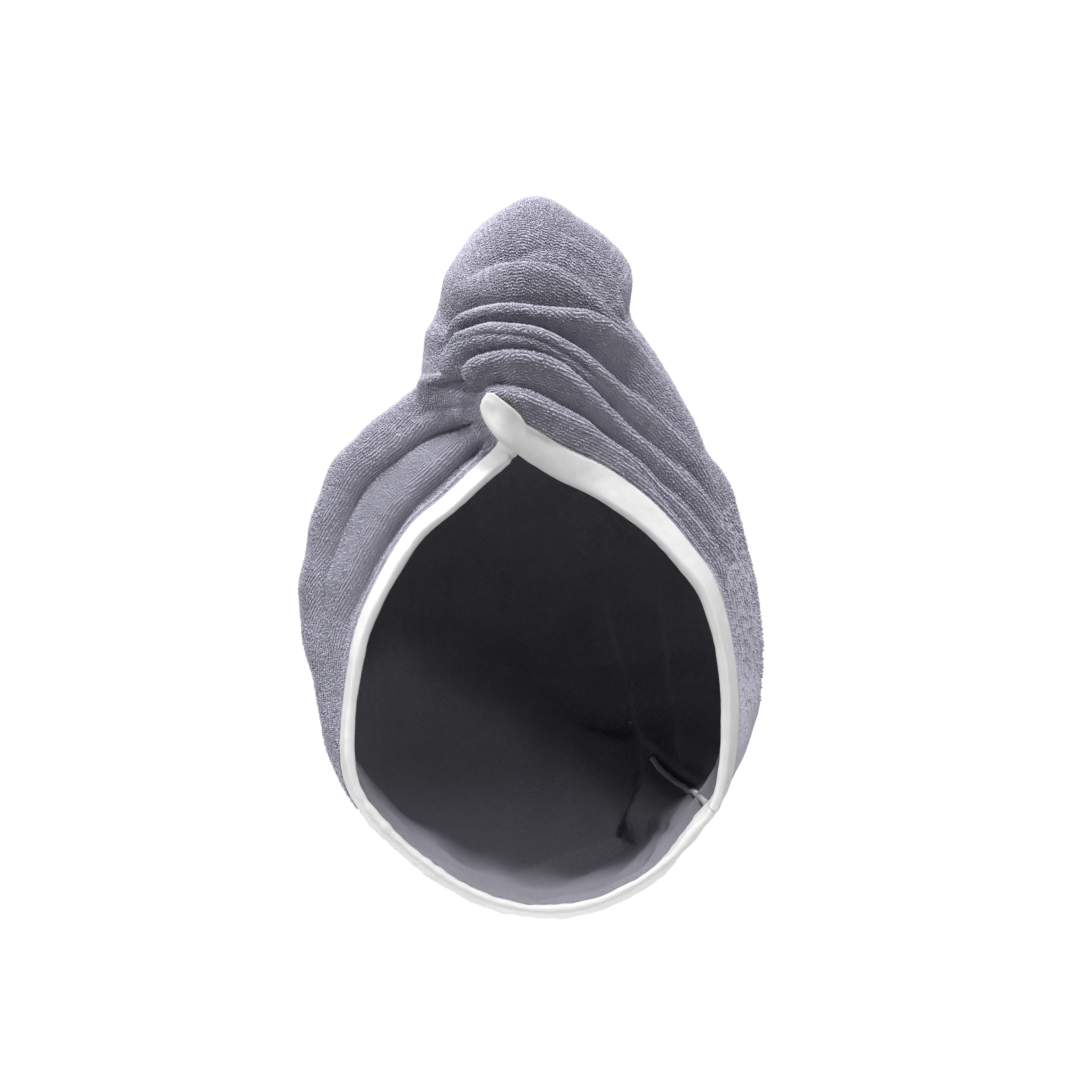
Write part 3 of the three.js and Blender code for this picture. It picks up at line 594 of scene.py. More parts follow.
class Nodes:
    """A short way to write a material's node tree.

    Attributes:
        material: the material.
        tree: its node tree.
        shader: the shader that gives its look.
    """

    def __init__(self, name: str) -> None:
        """Makes an empty material with its shader and output.

        Args:
            name: the material's name.
        """
        self.material = bpy.data.materials.new(name)
        self.material.use_nodes = True
        self.tree = self.material.node_tree
        self.shader = self.tree.nodes["Principled BSDF"]

    def add(self, kind: str, inputs: dict | None = None, **settings: object) -> bpy.types.Node:
        """Adds a node.

        Args:
            kind: the node's type, without the words that all shader nodes begin with.
            inputs: values or output sockets for its inputs, by name or number.
            settings: the node's own settings.

        Returns:
            The node.
        """
        node = self.tree.nodes.new("ShaderNode" + kind)
        for name, value in settings.items():
            setattr(node, name, value)
        for key, value in (inputs or {}).items():
            if isinstance(value, bpy.types.NodeSocket):
                self.tree.links.new(value, node.inputs[key])
            else:
                node.inputs[key].default_value = value
        return node

    def math(
        self, operation: str, first: object, second: object = 0.0, third: float = 0.0, clamp: bool = False
    ) -> bpy.types.NodeSocket:
        """A number worked out from one, two or three others, and kept from 0 to 1 if clamped."""
        node = self.add("Math", {0: first, 1: second, 2: third}, operation=operation, use_clamp=clamp)
        return node.outputs[0]

    def mix(self, share: bpy.types.NodeSocket, low: Colour, high: Colour) -> bpy.types.NodeSocket:
        """A colour between two others, at a share from 0 to 1."""
        return self.add("Mix", {0: share, 6: low, 7: high}, data_type="RGBA").outputs[2]

    def noise(self, place: bpy.types.NodeSocket, scale: float, **inputs: float) -> bpy.types.NodeSocket:
        """A fractal noise from 0 to 1, with that many cells to the metre."""
        return self.add("TexNoise", {"Vector": place, "Scale": scale, **inputs}).outputs["Fac"]

    def bump(self, height: bpy.types.NodeSocket, distance: float, strength: float) -> bpy.types.NodeSocket:
        """The normal of a surface with that height on it, of which 1 stands for the distance in metres."""
        inputs = {"Strength": strength, "Distance": distance, "Height": height}
        return self.add("Bump", inputs).outputs["Normal"]

    def feed(self, **inputs: object) -> None:
        """Sets or links the shader's inputs, whose names have _ for a space."""
        for name, value in inputs.items():
            socket = self.shader.inputs[name.replace("_", " ")]
            if isinstance(value, bpy.types.NodeSocket):
                self.tree.links.new(value, socket)
            else:
                socket.default_value = value


@dataclass(frozen=True)
class TerryFinish:
    """Looped microfibre terry: rows of small loops that follow the cloth, with a soft sheen.

    Attributes:
        light: colour at the tips of the loops.
        dark: colour between the loops, painted shade in the hollows of the pile.
        rib: pitch of the rows along the cloth.
        loop: size of the single loops.
        relief: height of the loops.
        patches: soft clouds of tone to the metre.
        lining_painted_shade: how much darker the lining is painted, as painted shade inside the hood.
    """

    light: Colour = (0.52, 0.51, 0.6, 1.0)
    dark: Colour = (0.13, 0.127, 0.175, 1.0)
    rib: float = 0.0014
    loop: float = 0.0009
    relief: float = 0.0007
    patches: float = 22.0
    lining_painted_shade: float = 0.74

    def material(self, name: str) -> bpy.types.Material:
        """Builds the finish.

        The height of the pile is the sum of a sine across the rows, of round cells and of a fine noise. It
        drives the bump and mixes the two colours, as painted shade in the hollows between the loops. A vertex
        attribute paints shade on the lining.

        Args:
            name: the material's name.

        Returns:
            The material.
        """
        nodes = Nodes(name)
        place = nodes.add("TexCoord").outputs
        cloth = place["Object"]
        away = nodes.add("SeparateXYZ", {"Vector": place["UV"]}).outputs["Y"]
        turn = nodes.math("MULTIPLY", away, 2 * math.pi / self.rib)
        ribs = nodes.math("MULTIPLY_ADD", nodes.math("SINE", turn), 0.5, 1.0)
        cells = nodes.add("TexVoronoi", {"Vector": cloth, "Scale": 1 / self.loop, "Randomness": 1.0})
        tufts = nodes.math("SUBTRACT", 1.0, cells.outputs["Distance"], clamp=True)
        fuzz = nodes.noise(cloth, 1.6 / self.loop, Detail=3.0, Roughness=0.7)
        pile = nodes.math("ADD", nodes.math("MULTIPLY", tufts, 0.4), nodes.math("MULTIPLY", fuzz, 0.5))
        height = nodes.math("ADD", nodes.math("MULTIPLY", ribs, 0.3), pile)
        bump = nodes.bump(height, self.relief, 1.0)
        patches = nodes.math("MULTIPLY_ADD", nodes.noise(cloth, self.patches, Detail=3.0), 0.3, -0.22)
        # Painted shade: the colour goes towards dark where the pile is low, in the hollows between the loops.
        level = nodes.math("MULTIPLY", height, 1.5)
        colour = nodes.mix(nodes.math("ADD", level, patches, clamp=True), self.dark, self.light)
        # Painted shade: the vertex attribute darkens the lining's colour, as the shadow inside the hood.
        inner = nodes.add("Attribute", attribute_name=INNER).outputs["Fac"]
        shade = nodes.math("SUBTRACT", 1.0, nodes.math("MULTIPLY", inner, self.lining_painted_shade))
        toned = nodes.add("HueSaturation", {"Color": colour, "Value": shade}).outputs["Color"]
        nodes.feed(Base_Color=toned, Normal=bump, Roughness=0.95, Sheen_Weight=0.2)
        nodes.feed(Sheen_Roughness=0.55, Sheen_Tint=(0.88, 0.88, 1.0, 1.0), Specular_IOR_Level=0.15)
        return nodes.material


@dataclass(frozen=True)
class SatinFinish:
    """White satin tape: a close twill with a soft gloss, plain all over.

    Attributes:
        colour: the tape's white.
        pitch: distance between the twill's lines.
        relief: height of the twill.
        dents: soft dents to the metre.
    """

    colour: Colour = (0.74, 0.75, 0.74, 1.0)
    pitch: float = 0.00045
    relief: float = 0.00006
    dents: float = 160.0

    def material(self, name: str) -> bpy.types.Material:
        """Builds the finish: slanting lines of twill under soft dents, and a slightly uneven gloss.

        Args:
            name: the material's name.

        Returns:
            The material.
        """
        nodes = Nodes(name)
        place = nodes.add("TexCoord").outputs
        flat = nodes.add("SeparateXYZ", {"Vector": place["UV"]}).outputs
        slant = nodes.math("ADD", flat["X"], flat["Y"])
        twill = nodes.math("SINE", nodes.math("MULTIPLY", slant, 2 * math.pi / self.pitch))
        dents = nodes.noise(place["Object"], self.dents, Detail=2.0)
        height = nodes.math("ADD", nodes.math("MULTIPLY", twill, 0.5), nodes.math("MULTIPLY", dents, 7.0))
        gloss = nodes.math("MULTIPLY_ADD", dents, 0.25, 0.3)
        bump = nodes.bump(height, self.relief, 0.8)
        nodes.feed(Base_Color=self.colour, Roughness=gloss, Normal=bump, Sheen_Weight=0.15)
        return nodes.material


@dataclass(frozen=True)
class ThreadFinish:
    """Spun thread: a pale yarn with a fine twist.

    Attributes:
        colour: the thread's colour.
        grain: size of the twist's marks.
    """

    colour: Colour = (0.5, 0.49, 0.56, 1.0)
    grain: float = 0.0004

    def material(self, name: str) -> bpy.types.Material:
        """Builds the finish: fine grain that lightens and raises the yarn.

        Args:
            name: the material's name.

        Returns:
            The material.
        """
        nodes = Nodes(name)
        grain = nodes.noise(nodes.add("TexCoord").outputs["Object"], 1 / self.grain, Detail=2.0)
        colour = nodes.mix(grain, toned(self.colour, 0.6), self.colour)
        nodes.feed(Base_Color=colour, Roughness=0.85, Normal=nodes.bump(grain, 0.0002, 0.7), Sheen_Weight=0.3)
        return nodes.material


@dataclass(frozen=True)
class ButtonFinish:
    """Moulded plastic of the button: a grey with faint clouds and fine scratches.

    Attributes:
        colour: the plastic's colour.
        clouds: clouds to the metre.
        scratches: scratches and worn spots to the metre.
    """

    colour: Colour = (0.25, 0.245, 0.31, 1.0)
    clouds: float = 150.0
    scratches: float = 1500.0

    def material(self, name: str) -> bpy.types.Material:
        """Builds the finish: clouds in the colour, and worn spots that are duller.

        Args:
            name: the material's name.

        Returns:
            The material.
        """
        nodes = Nodes(name)
        place = nodes.add("TexCoord").outputs["Object"]
        cloud = nodes.noise(place, self.clouds, Detail=4.0)
        scratch = nodes.noise(place, self.scratches, Detail=2.0)
        colour = nodes.mix(cloud, toned(self.colour, 0.8), toned(self.colour, 1.25))
        dull = nodes.math("MULTIPLY_ADD", scratch, 0.3, 0.25)
        nodes.feed(Base_Color=colour, Roughness=dull, Normal=nodes.bump(scratch, 0.0001, 0.3))
        return nodes.material


@dataclass
class Curves:
    """The curves of the cloth at a run of sections, each as the four points of a Bezier curve.

    Attributes:
        start: the points at the edge of the opening, one row for each curve.
        first: the handles beside them.
        second: the handles beside the outline.
        crest: the points on the outline.
    """

    start: Array
    first: Array
    second: Array
    crest: Array

    def front(self, share: Array) -> Array:
        """Points of the Bezier curves, at shares with one row for each curve.

        Args:
            share: the shares, one row for each curve.

        Returns:
            The points, likewise.
        """
        t = share[..., None]
        controls = (self.start, self.first, self.second, self.crest)
        weights = ((1 - t) ** 3, 3 * t * (1 - t) ** 2, 3 * t * t * (1 - t), t**3)
        return sum(weight * control[:, None, :] for weight, control in zip(weights, controls))


@dataclass
class Hood:
    """The terry hood with its roll: one closed sheet of cloth, wound solid in the roll.

    Attributes:
        opening_half_width: half the width of the finished opening.
        opening_half_height: half its height.
        half_width: half the width of the outline.
        roll_height: height of the roll's top over the opening's middle.
        depth: from the opening's plane to the middle of the back.
        crown_height: the height that the hood has by itself behind the roll.
        cavity_height: the furthest that the lining lies from the opening's middle.
        wall: thickness of the cloth.
        pleat_thickness: what the folded layers add to the wall, inwards.
        lap_step: how far the roll stands over the left panel at the left end of the tuck line.
        crossing_step: the same at the crossing.
        lap_edge: the reach of the step across the line.
        lap_reach: the reach over which the step dies away.
        tape_width: width of the folded tape on each face of the cloth.
        left_narrowing: the share that the left tape is narrower by.
        tape_thickness: thickness of the tape.
        clearance: gap between the cloth and the tape.
        loft: how far the pile stands up beside the tape.
        hem_rows: grid rows under the tape.
        front_rows: rows from the tape to the outline, outside.
        back_rows: rows from the outline to the middle of the back, outside.
        lining_front_rows: rows from the tape to the outline, inside.
        lining_back_rows: rows from the outline to the middle of the back, inside.
        flat_size: the towel's width and length, laid flat; not used.
        numbers: the section number of each column.
        outside: the finished outer face, as columns of points from the edge to the back.
        normals: its outward normals.
        lining: the finished inner face, likewise.
        lining_normals: its normals, outwards too.
    """

    opening_half_width: float = 0.079
    opening_half_height: float = 0.100
    half_width: float = 0.101
    roll_height: float = 0.213
    depth: float = 0.145
    crown_height: float = 0.136
    cavity_height: float = 0.122
    wall: float = 0.0024
    pleat_thickness: float = 0.005
    lap_step: float = 0.007
    crossing_step: float = 0.005
    lap_edge: float = 0.0028
    lap_reach: float = 0.030
    tape_width: float = 0.0125
    left_narrowing: float = 0.36
    tape_thickness: float = 0.0006
    clearance: float = 0.0003
    loft: float = 0.0009
    hem_rows: int = 6
    front_rows: int = 126
    back_rows: int = 26
    lining_front_rows: int = 16
    lining_back_rows: int = 70
    flat_size: Point = (0.25, 0.65)
    numbers: Array = field(init=False)
    outside: Array = field(init=False)
    normals: Array = field(init=False)
    lining: Array = field(init=False)
    lining_normals: Array = field(init=False)

    def __post_init__(self) -> None:
        """Works out the section number of every column, from the bottom seam clockwise."""
        shares = [number + np.arange(count) / count for number, count in enumerate(SECTION_COLUMNS)]
        ordered = shares[SEAM_START:] + [part + len(SECTIONS) for part in shares[:SEAM_START]]
        self.numbers = np.concatenate(ordered)

    def curves(self, numbers: Array, offset: float, ceiling: float) -> Curves:
        """The curves of the cloth at some sections.

        Each runs from the edge of the opening to the outline. Its first handle leans back from the front by the
        section's lean, and its second one points straight back.

        Args:
            numbers: which sections, as places in the table.
            offset: how far the surface lies outside the middle of the cloth.
            ceiling: the furthest that the outline may lie from the opening's middle.

        Returns:
            The curves.
        """
        row = dict(zip(SECTION_NAMES, spline(SECTIONS, numbers, closed=True).T))
        lean = np.radians(row["lean"])[:, None]
        rim = np.stack(
            [
                row["rim_x"] * self.opening_half_width,
                row["edge_y"] * self.depth,
                row["rim_z"] * self.opening_half_height,
            ],
            axis=1,
        )
        crest = np.stack(
            [row["crest_x"] * self.half_width, row["crest_y"] * self.depth, row["crest_z"] * self.roll_height],
            axis=1,
        )
        reach = np.hypot(crest[:, 0], crest[:, 2])
        crest[:, ::2] *= (np.minimum(reach - self.wall / 2 + offset, ceiling) / reach)[:, None]
        outward = unit(rim * (1, 0, 1))
        hem = self.tape_thickness + self.clearance
        start = rim + outward * (hem * np.cos(lean) + (hem + self.wall / 2 + offset) * np.sin(lean))
        start[:, 1:2] -= offset * np.cos(lean)
        facing = unit((crest - start) * (1, 0, 1))
        handle = np.linalg.norm(crest - start, axis=1, keepdims=True) * 0.42
        first = start + facing * handle * np.cos(lean)
        first[:, 1:2] += handle * np.sin(lean)
        return Curves(start, first, crest - handle * (0, 1, 0), crest)

    def tape_widths(self, numbers: Array) -> Array:
        """The tape's width at some sections: it shows narrower on the left panel, where it turns in.

        Args:
            numbers: which sections, as places in the table.

        Returns:
            One width for each section.
        """
        own = (numbers - SEAM_START) % len(SECTIONS) + SEAM_START
        first, coming, last, going = LEFT_TAPE
        left = smooth((own - first) / coming) * smooth((last - own) / going)
        return self.tape_width * (1 - self.left_narrowing * left)

    def hem_lengths(self, numbers: Array, offset: float) -> Array:
        """How much of each section the tape covers.

        It is the tape's width over the sine between section and edge, as a running mean over some columns.

        Args:
            numbers: which sections, as places in the table.
            offset: how far the surface lies outside the middle of the cloth.

        Returns:
            One length for each section.
        """
        step, reach = 0.02, 14
        before, here, after = (self.curves(numbers + d, offset, math.inf) for d in (-step, 0.0, step))
        along = unit(after.start - before.start)
        slope = unit(here.first - here.start)
        sine = np.linalg.norm(np.cross(along, slope), axis=1)
        lengths = self.tape_widths(numbers) / np.maximum(0.5, sine)
        bell = smooth(np.linspace(0, 2, 2 * reach + 1)[: reach + 1])
        bell = np.concatenate([bell, bell[-2::-1]])
        return np.convolve(np.pad(lengths, reach, mode="wrap"), bell / bell.sum(), mode="valid")

    def surface(self, offset: float, ceiling: float, front_rows: int, back_rows: int) -> Array:
        """One face of the cloth as a grid of points.

        The rows are even along the curve to the outline, apart from those under the tape, and even again
        behind it.

        Args:
            offset: how far the face lies outside the middle of the cloth.
            ceiling: the furthest that the outline may lie from the opening's middle.
            front_rows: rows between the tape and the outline.
            back_rows: rows between the outline and the middle of the back.

        Returns:
            Points with the columns on the first axis and the rows on the second one.
        """
        curves = self.curves(self.numbers, offset, ceiling)
        samples = np.linspace(0.0, 1.0, 90)
        line = curves.front(np.broadcast_to(samples, (len(self.numbers), len(samples))))
        length = lengths_along(line, axis=1)
        whole = length[:, -1:]
        hem = np.minimum(self.hem_lengths(self.numbers, offset)[:, None] / whole, 0.85)
        over_tape = hem * np.arange(self.hem_rows) / self.hem_rows
        beyond = hem + (1 - hem) * np.arange(front_rows + 1) / front_rows
        places = np.hstack([over_tape, beyond]) * whole
        shares = np.stack([np.interp(place, own, samples) for place, own in zip(places, length)])
        front = curves.front(shares)
        samples = np.linspace(0, math.pi / 2, 400)
        dense = self.behind(curves.crest, np.broadcast_to(samples, (len(self.numbers), len(samples))), offset)
        length = lengths_along(dense, axis=1)
        places = length[:, -1:] * np.arange(1, back_rows) / back_rows
        angles = np.stack([np.interp(place, own, samples) for place, own in zip(places, length)])
        return np.concatenate([front, self.behind(curves.crest, angles, offset)], axis=1)

    def behind(self, crest: Array, angle: Array, offset: float) -> Array:
        """Points of the curves from the outline to the middle of the back.

        The hood's own height falls as the cosine to the power that makes the curve a little squarer than an
        ellipse, what the roll adds falls faster, and the depth grows as the sine to the first power.

        Args:
            crest: where each curve starts on the outline.
            angle: angles from 0 to a right angle, with one row for each curve.
            offset: how far the surface lies outside the middle of the cloth.

        Returns:
            The points.
        """
        reach = np.hypot(crest[:, 0], crest[:, 2])
        own = (np.minimum(reach, self.crown_height) / reach)[:, None]
        cosine = np.maximum(0.0, np.cos(angle))
        shrink = own * cosine ** (2 / BACK_POWER) + (1 - own) * cosine**ROLL_POWER
        far = self.depth + offset - self.wall / 2
        points = crest[:, None, :] * np.stack([shrink, np.ones_like(shrink), shrink], axis=2)
        points[..., 1] += (far - crest[:, 1:2]) * np.sin(angle) ** (2 / BACK_POWER)
        return points

    def normals_of(self, grid: Array) -> Array:
        """Outward normals of a grid: the cross product of its steps round the opening and away from it."""
        around = np.roll(grid, -1, axis=0) - np.roll(grid, 1, axis=0)
        return unit(np.cross(around, np.gradient(grid, axis=1)))

    def fold_height(self, x: Array, z: Array, creases: dict[str, Crease]) -> Array:
        """How far the folds raise the cloth at places seen from the front.

        A crease sinks with the exponential of the distance over its reach, shorter on its steep side, where a
        ridge of the shape t times e to the power 1 less t stands beside it.

        Args:
            x: where the places lie across.
            z: how high they lie.
            creases: the folds.

        Returns:
            The height at each place.
        """
        height = np.zeros_like(x)
        for crease in creases.values():
            points = seen_from_front(crease.line)
            line = spline(points, np.linspace(0, len(points) - 1, 5 * len(points)))
            short, long, depth = (0.001 * size for size in (crease.short, crease.long, crease.depth))
            margin = 5 * max(long, short)
            near = (
                (x > line[:, 0].min() - margin)
                & (x < line[:, 0].max() + margin)
                & (z > line[:, 1].min() - margin)
                & (z < line[:, 1].max() + margin)
            )
            distance, along = nearest_on(line, x[near], z[near])
            ends = smooth(along / crease.fade[0]) * smooth((1 - along) / crease.fade[1])
            side = distance * crease.steep.value
            reach = np.where(side > 0, short, long)
            valley = -np.exp(-(np.sqrt(distance**2 + 0.0003**2) - 0.0003) / reach)
            rise = np.maximum(side, 0) / (2 * short)
            ridge = crease.crest * rise * np.exp(1 - rise)
            height[near] += depth * ends * (valley + ridge)
        return height

    def lap(self, x: Array, z: Array) -> Array:
        """How far the cloth comes forward where the roll laps over the left panel.

        A step across the tuck line, lower towards the crossing, which dies away on both sides of the line.

        Args:
            x: where the places lie across.
            z: how high they lie.

        Returns:
            The way forward at each place.
        """
        points = np.array(TUCK_LINE) * (self.half_width, self.roll_height)
        line = spline(points, np.linspace(0, len(points) - 1, 40))
        distance, _ = nearest_on(line, x, z)
        across = smooth((x - points[0, 0]) / (points[-1, 0] - points[0, 0]))
        step = self.lap_step + (self.crossing_step - self.lap_step) * across
        cliff = smooth(np.abs(distance) / self.lap_edge)
        return -np.sign(distance) * 0.5 * step * cliff * np.exp(-np.abs(distance) / self.lap_reach)

    def clearance_of(self, points: Array) -> Array:
        """How far points lie outside the hood's plain outside, measured square to its front-to-back axis.

        The outline's reach and depth are read at the point's direction round that axis, and the curve behind
        the outline gives the reach that the hood has at the point's depth.

        Args:
            points: the points, with x, y and z on the last axis.

        Returns:
            The distance, below zero inside the hood.
        """
        crest = self.curves(self.numbers, self.wall / 2, math.inf).crest
        around = np.arctan2(crest[:, 2], crest[:, 0])
        order = np.argsort(around)
        turn = np.arctan2(points[..., 2], points[..., 0])
        reach = np.interp(turn, around[order], np.hypot(crest[:, 0], crest[:, 2])[order], period=2 * math.pi)
        front = np.interp(turn, around[order], crest[order, 1], period=2 * math.pi)
        back = np.clip((points[..., 1] - front) / (self.depth - front), 0.0, 1.0)
        narrow = np.sqrt(1 - back ** BACK_POWER)
        own = np.minimum(reach, self.crown_height)
        allowed = own * narrow ** (2 / BACK_POWER) + (reach - own) * narrow**ROLL_POWER
        return np.hypot(points[..., 0], points[..., 2]) - allowed

    def evened(self, grid: Array) -> Array:
        """The lining without narrow pleats away from the edge: there each row is its own running mean.

        Args:
            grid: the lining.

        Returns:
            The evened grid.
        """
        reach = 60
        bell = smooth(np.concatenate([np.linspace(0, 1, reach + 1), np.linspace(1, 0, reach + 1)[1:]]))
        wrapped = np.concatenate([grid[-reach:], grid, grid[:reach]])
        mean = sum(weight * wrapped[i : i + len(grid)] for i, weight in enumerate(bell / bell.sum()))
        from_edge = lengths_along(grid, axis=1)[..., None]
        share = smooth((from_edge - 1.2 * self.tape_width) / (2 * self.tape_width))
        share = share * smooth((grid[..., 2:] - 0.005) / 0.05)
        return grid * (1 - share) + mean * share

    def at(self, grid: Array, numbers: Array) -> Array:
        """Columns of one of the hood's grids at section numbers between its own, which may run past the last.

        Args:
            grid: the hood's outside, lining or normals.
            numbers: which sections.

        Returns:
            One column for each number.
        """
        count = len(self.numbers)
        wrapped = (numbers - SEAM_START) % len(SECTIONS) + SEAM_START
        own = np.append(self.numbers, SEAM_START + len(SECTIONS))
        places = np.interp(wrapped, own, np.arange(count + 1))
        low = np.floor(places).astype(int)
        share = (places - low)[:, None, None]
        return grid[low % count] * (1 - share) + grid[(low + 1) % count] * share

    def roll_depth(self, x: Array, z: Array) -> Array:
        """How far back the roll's surface lies at places seen from the front, beside the tuck line.

        Args:
            x: where the places lie across.
            z: how high they lie.

        Returns:
            The y of the nearest points of the roll at each place.
        """
        near = (self.numbers > len(SECTIONS) - 4) & (self.numbers < len(SECTIONS) + 4)
        points = self.outside[near][:, : self.hem_rows + self.front_rows].reshape(-1, 3)
        line = np.array(TUCK_LINE) * (self.half_width, self.roll_height)
        distance, _ = nearest_on(line, points[:, 0], points[:, 2])
        points = points[distance < -self.lap_edge]
        away = (x.ravel()[:, None] - points[:, 0]) ** 2 + (z.ravel()[:, None] - points[:, 2]) ** 2
        weight = 1 / (away + 1e-7) ** 2
        return ((weight * points[:, 1]).sum(axis=1) / weight.sum(axis=1)).reshape(x.shape)

    def relief(self, grid: Array, creases: dict[str, Crease], outer: bool) -> Array:
        """A face of the cloth with its folds, its lap and the soft unevenness of the pile.

        The outside's folds end towards the back. The lining lies further in behind them, and goes back with the
        left panel where the lap presses on it.

        Args:
            grid: the plain face.
            creases: the folds on it.
            outer: whether it is the outside.

        Returns:
            The grid of the finished face.
        """
        normals = self.normals_of(grid)
        flat = grid.reshape(-1, 3)
        from_edge = lengths_along(grid, axis=1)
        covered = self.tape_widths(self.numbers)[:, None]
        hem = smooth((from_edge - covered) / (0.5 * self.tape_width))
        x, z = flat[:, 0], flat[:, 2]
        pole = smooth(np.hypot(grid[..., 0], grid[..., 2]) / 0.03)
        fade = 1 - smooth((grid[..., 1] / self.depth - 0.35) / 0.35)
        folds = self.fold_height(x, z, creases).reshape(hem.shape)
        lap = self.lap(x, z).reshape(hem.shape) * fade
        uneven = (0.0005 * ripple(flat, 0.03, 3) + 0.00012 * ripple(flat, 0.006, 5)).reshape(hem.shape)
        if outer:
            puff = smooth((from_edge - covered) / (2 * self.loft)) * self.loft
            made = grid + normals * ((folds * fade + uneven) * hem + puff)[..., None]
            made[..., 1] -= lap
        else:
            height = (folds + uneven * 2 - self.pleat_thickness * fade) * hem * pole
            made = grid + normals * height[..., None]
            made[..., 1] += np.maximum(0.0, -lap)
        return made

    def build(self, material: bpy.types.Material) -> bpy.types.Object:
        """Makes the hood: outside and lining as two grids, joined along the edge and closed at their poles.

        Args:
            material: the terry.

        Returns:
            The piece.
        """
        plain = self.surface(self.wall / 2, math.inf, self.front_rows, self.back_rows)
        rows = self.lining_front_rows, self.lining_back_rows
        within = self.surface(-self.wall / 2, self.cavity_height, *rows)
        self.outside = self.relief(plain, FRONT_CREASES, outer=True)
        self.normals = self.normals_of(self.outside)
        self.lining = self.relief(self.evened(within), LINING_CREASES, outer=False)
        self.lining_normals = self.normals_of(self.lining)
        sheet = np.concatenate([self.outside[:, ::-1], self.lining], axis=1)
        ring = np.vstack([self.outside[:, MEASURED_ROW], self.outside[:1, MEASURED_ROW]])
        u = lengths_along(ring[:, None], axis=0)[:, 0]
        v = np.hstack([-lengths_along(self.outside, axis=1)[:, ::-1], lengths_along(self.lining, axis=1)])
        rows = sheet.shape[1]
        patch = grid_patch(sheet, np.repeat(u[:, None], rows, axis=1), np.vstack([v, v[:1]]), closed_u=True)
        columns = np.arange(len(sheet)) * rows
        patch = capped(patch, columns, flipped=False)
        patch = capped(patch, columns + rows - 1, flipped=True)
        piece = make_piece("hood_cloth", turned_out(patch), material)
        # The lining's painted shade, as a vertex attribute that the terry reads.
        layer = piece.data.attributes.new(INNER, "FLOAT", "POINT")
        layer.data.foreach_set("value", self.painted_lining_shades())
        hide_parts("hood")
        return piece

    def painted_lining_shades(self) -> Array:
        """How much painted shade each vertex, with both poles, has: none outside, and on the lining less at its
        bottom, where the light reaches in.
        """
        outside = np.zeros(self.outside.shape[:2])
        # Painted shade, lighter towards the bottom of the lining, where the light reaches in.
        lining = 1 - 0.45 * smooth((-0.035 - self.lining[..., 2]) / 0.05)
        shades = np.concatenate([outside, lining], axis=1)
        return np.append(shades.ravel(), [0.0, 1.0]).astype(np.float32)


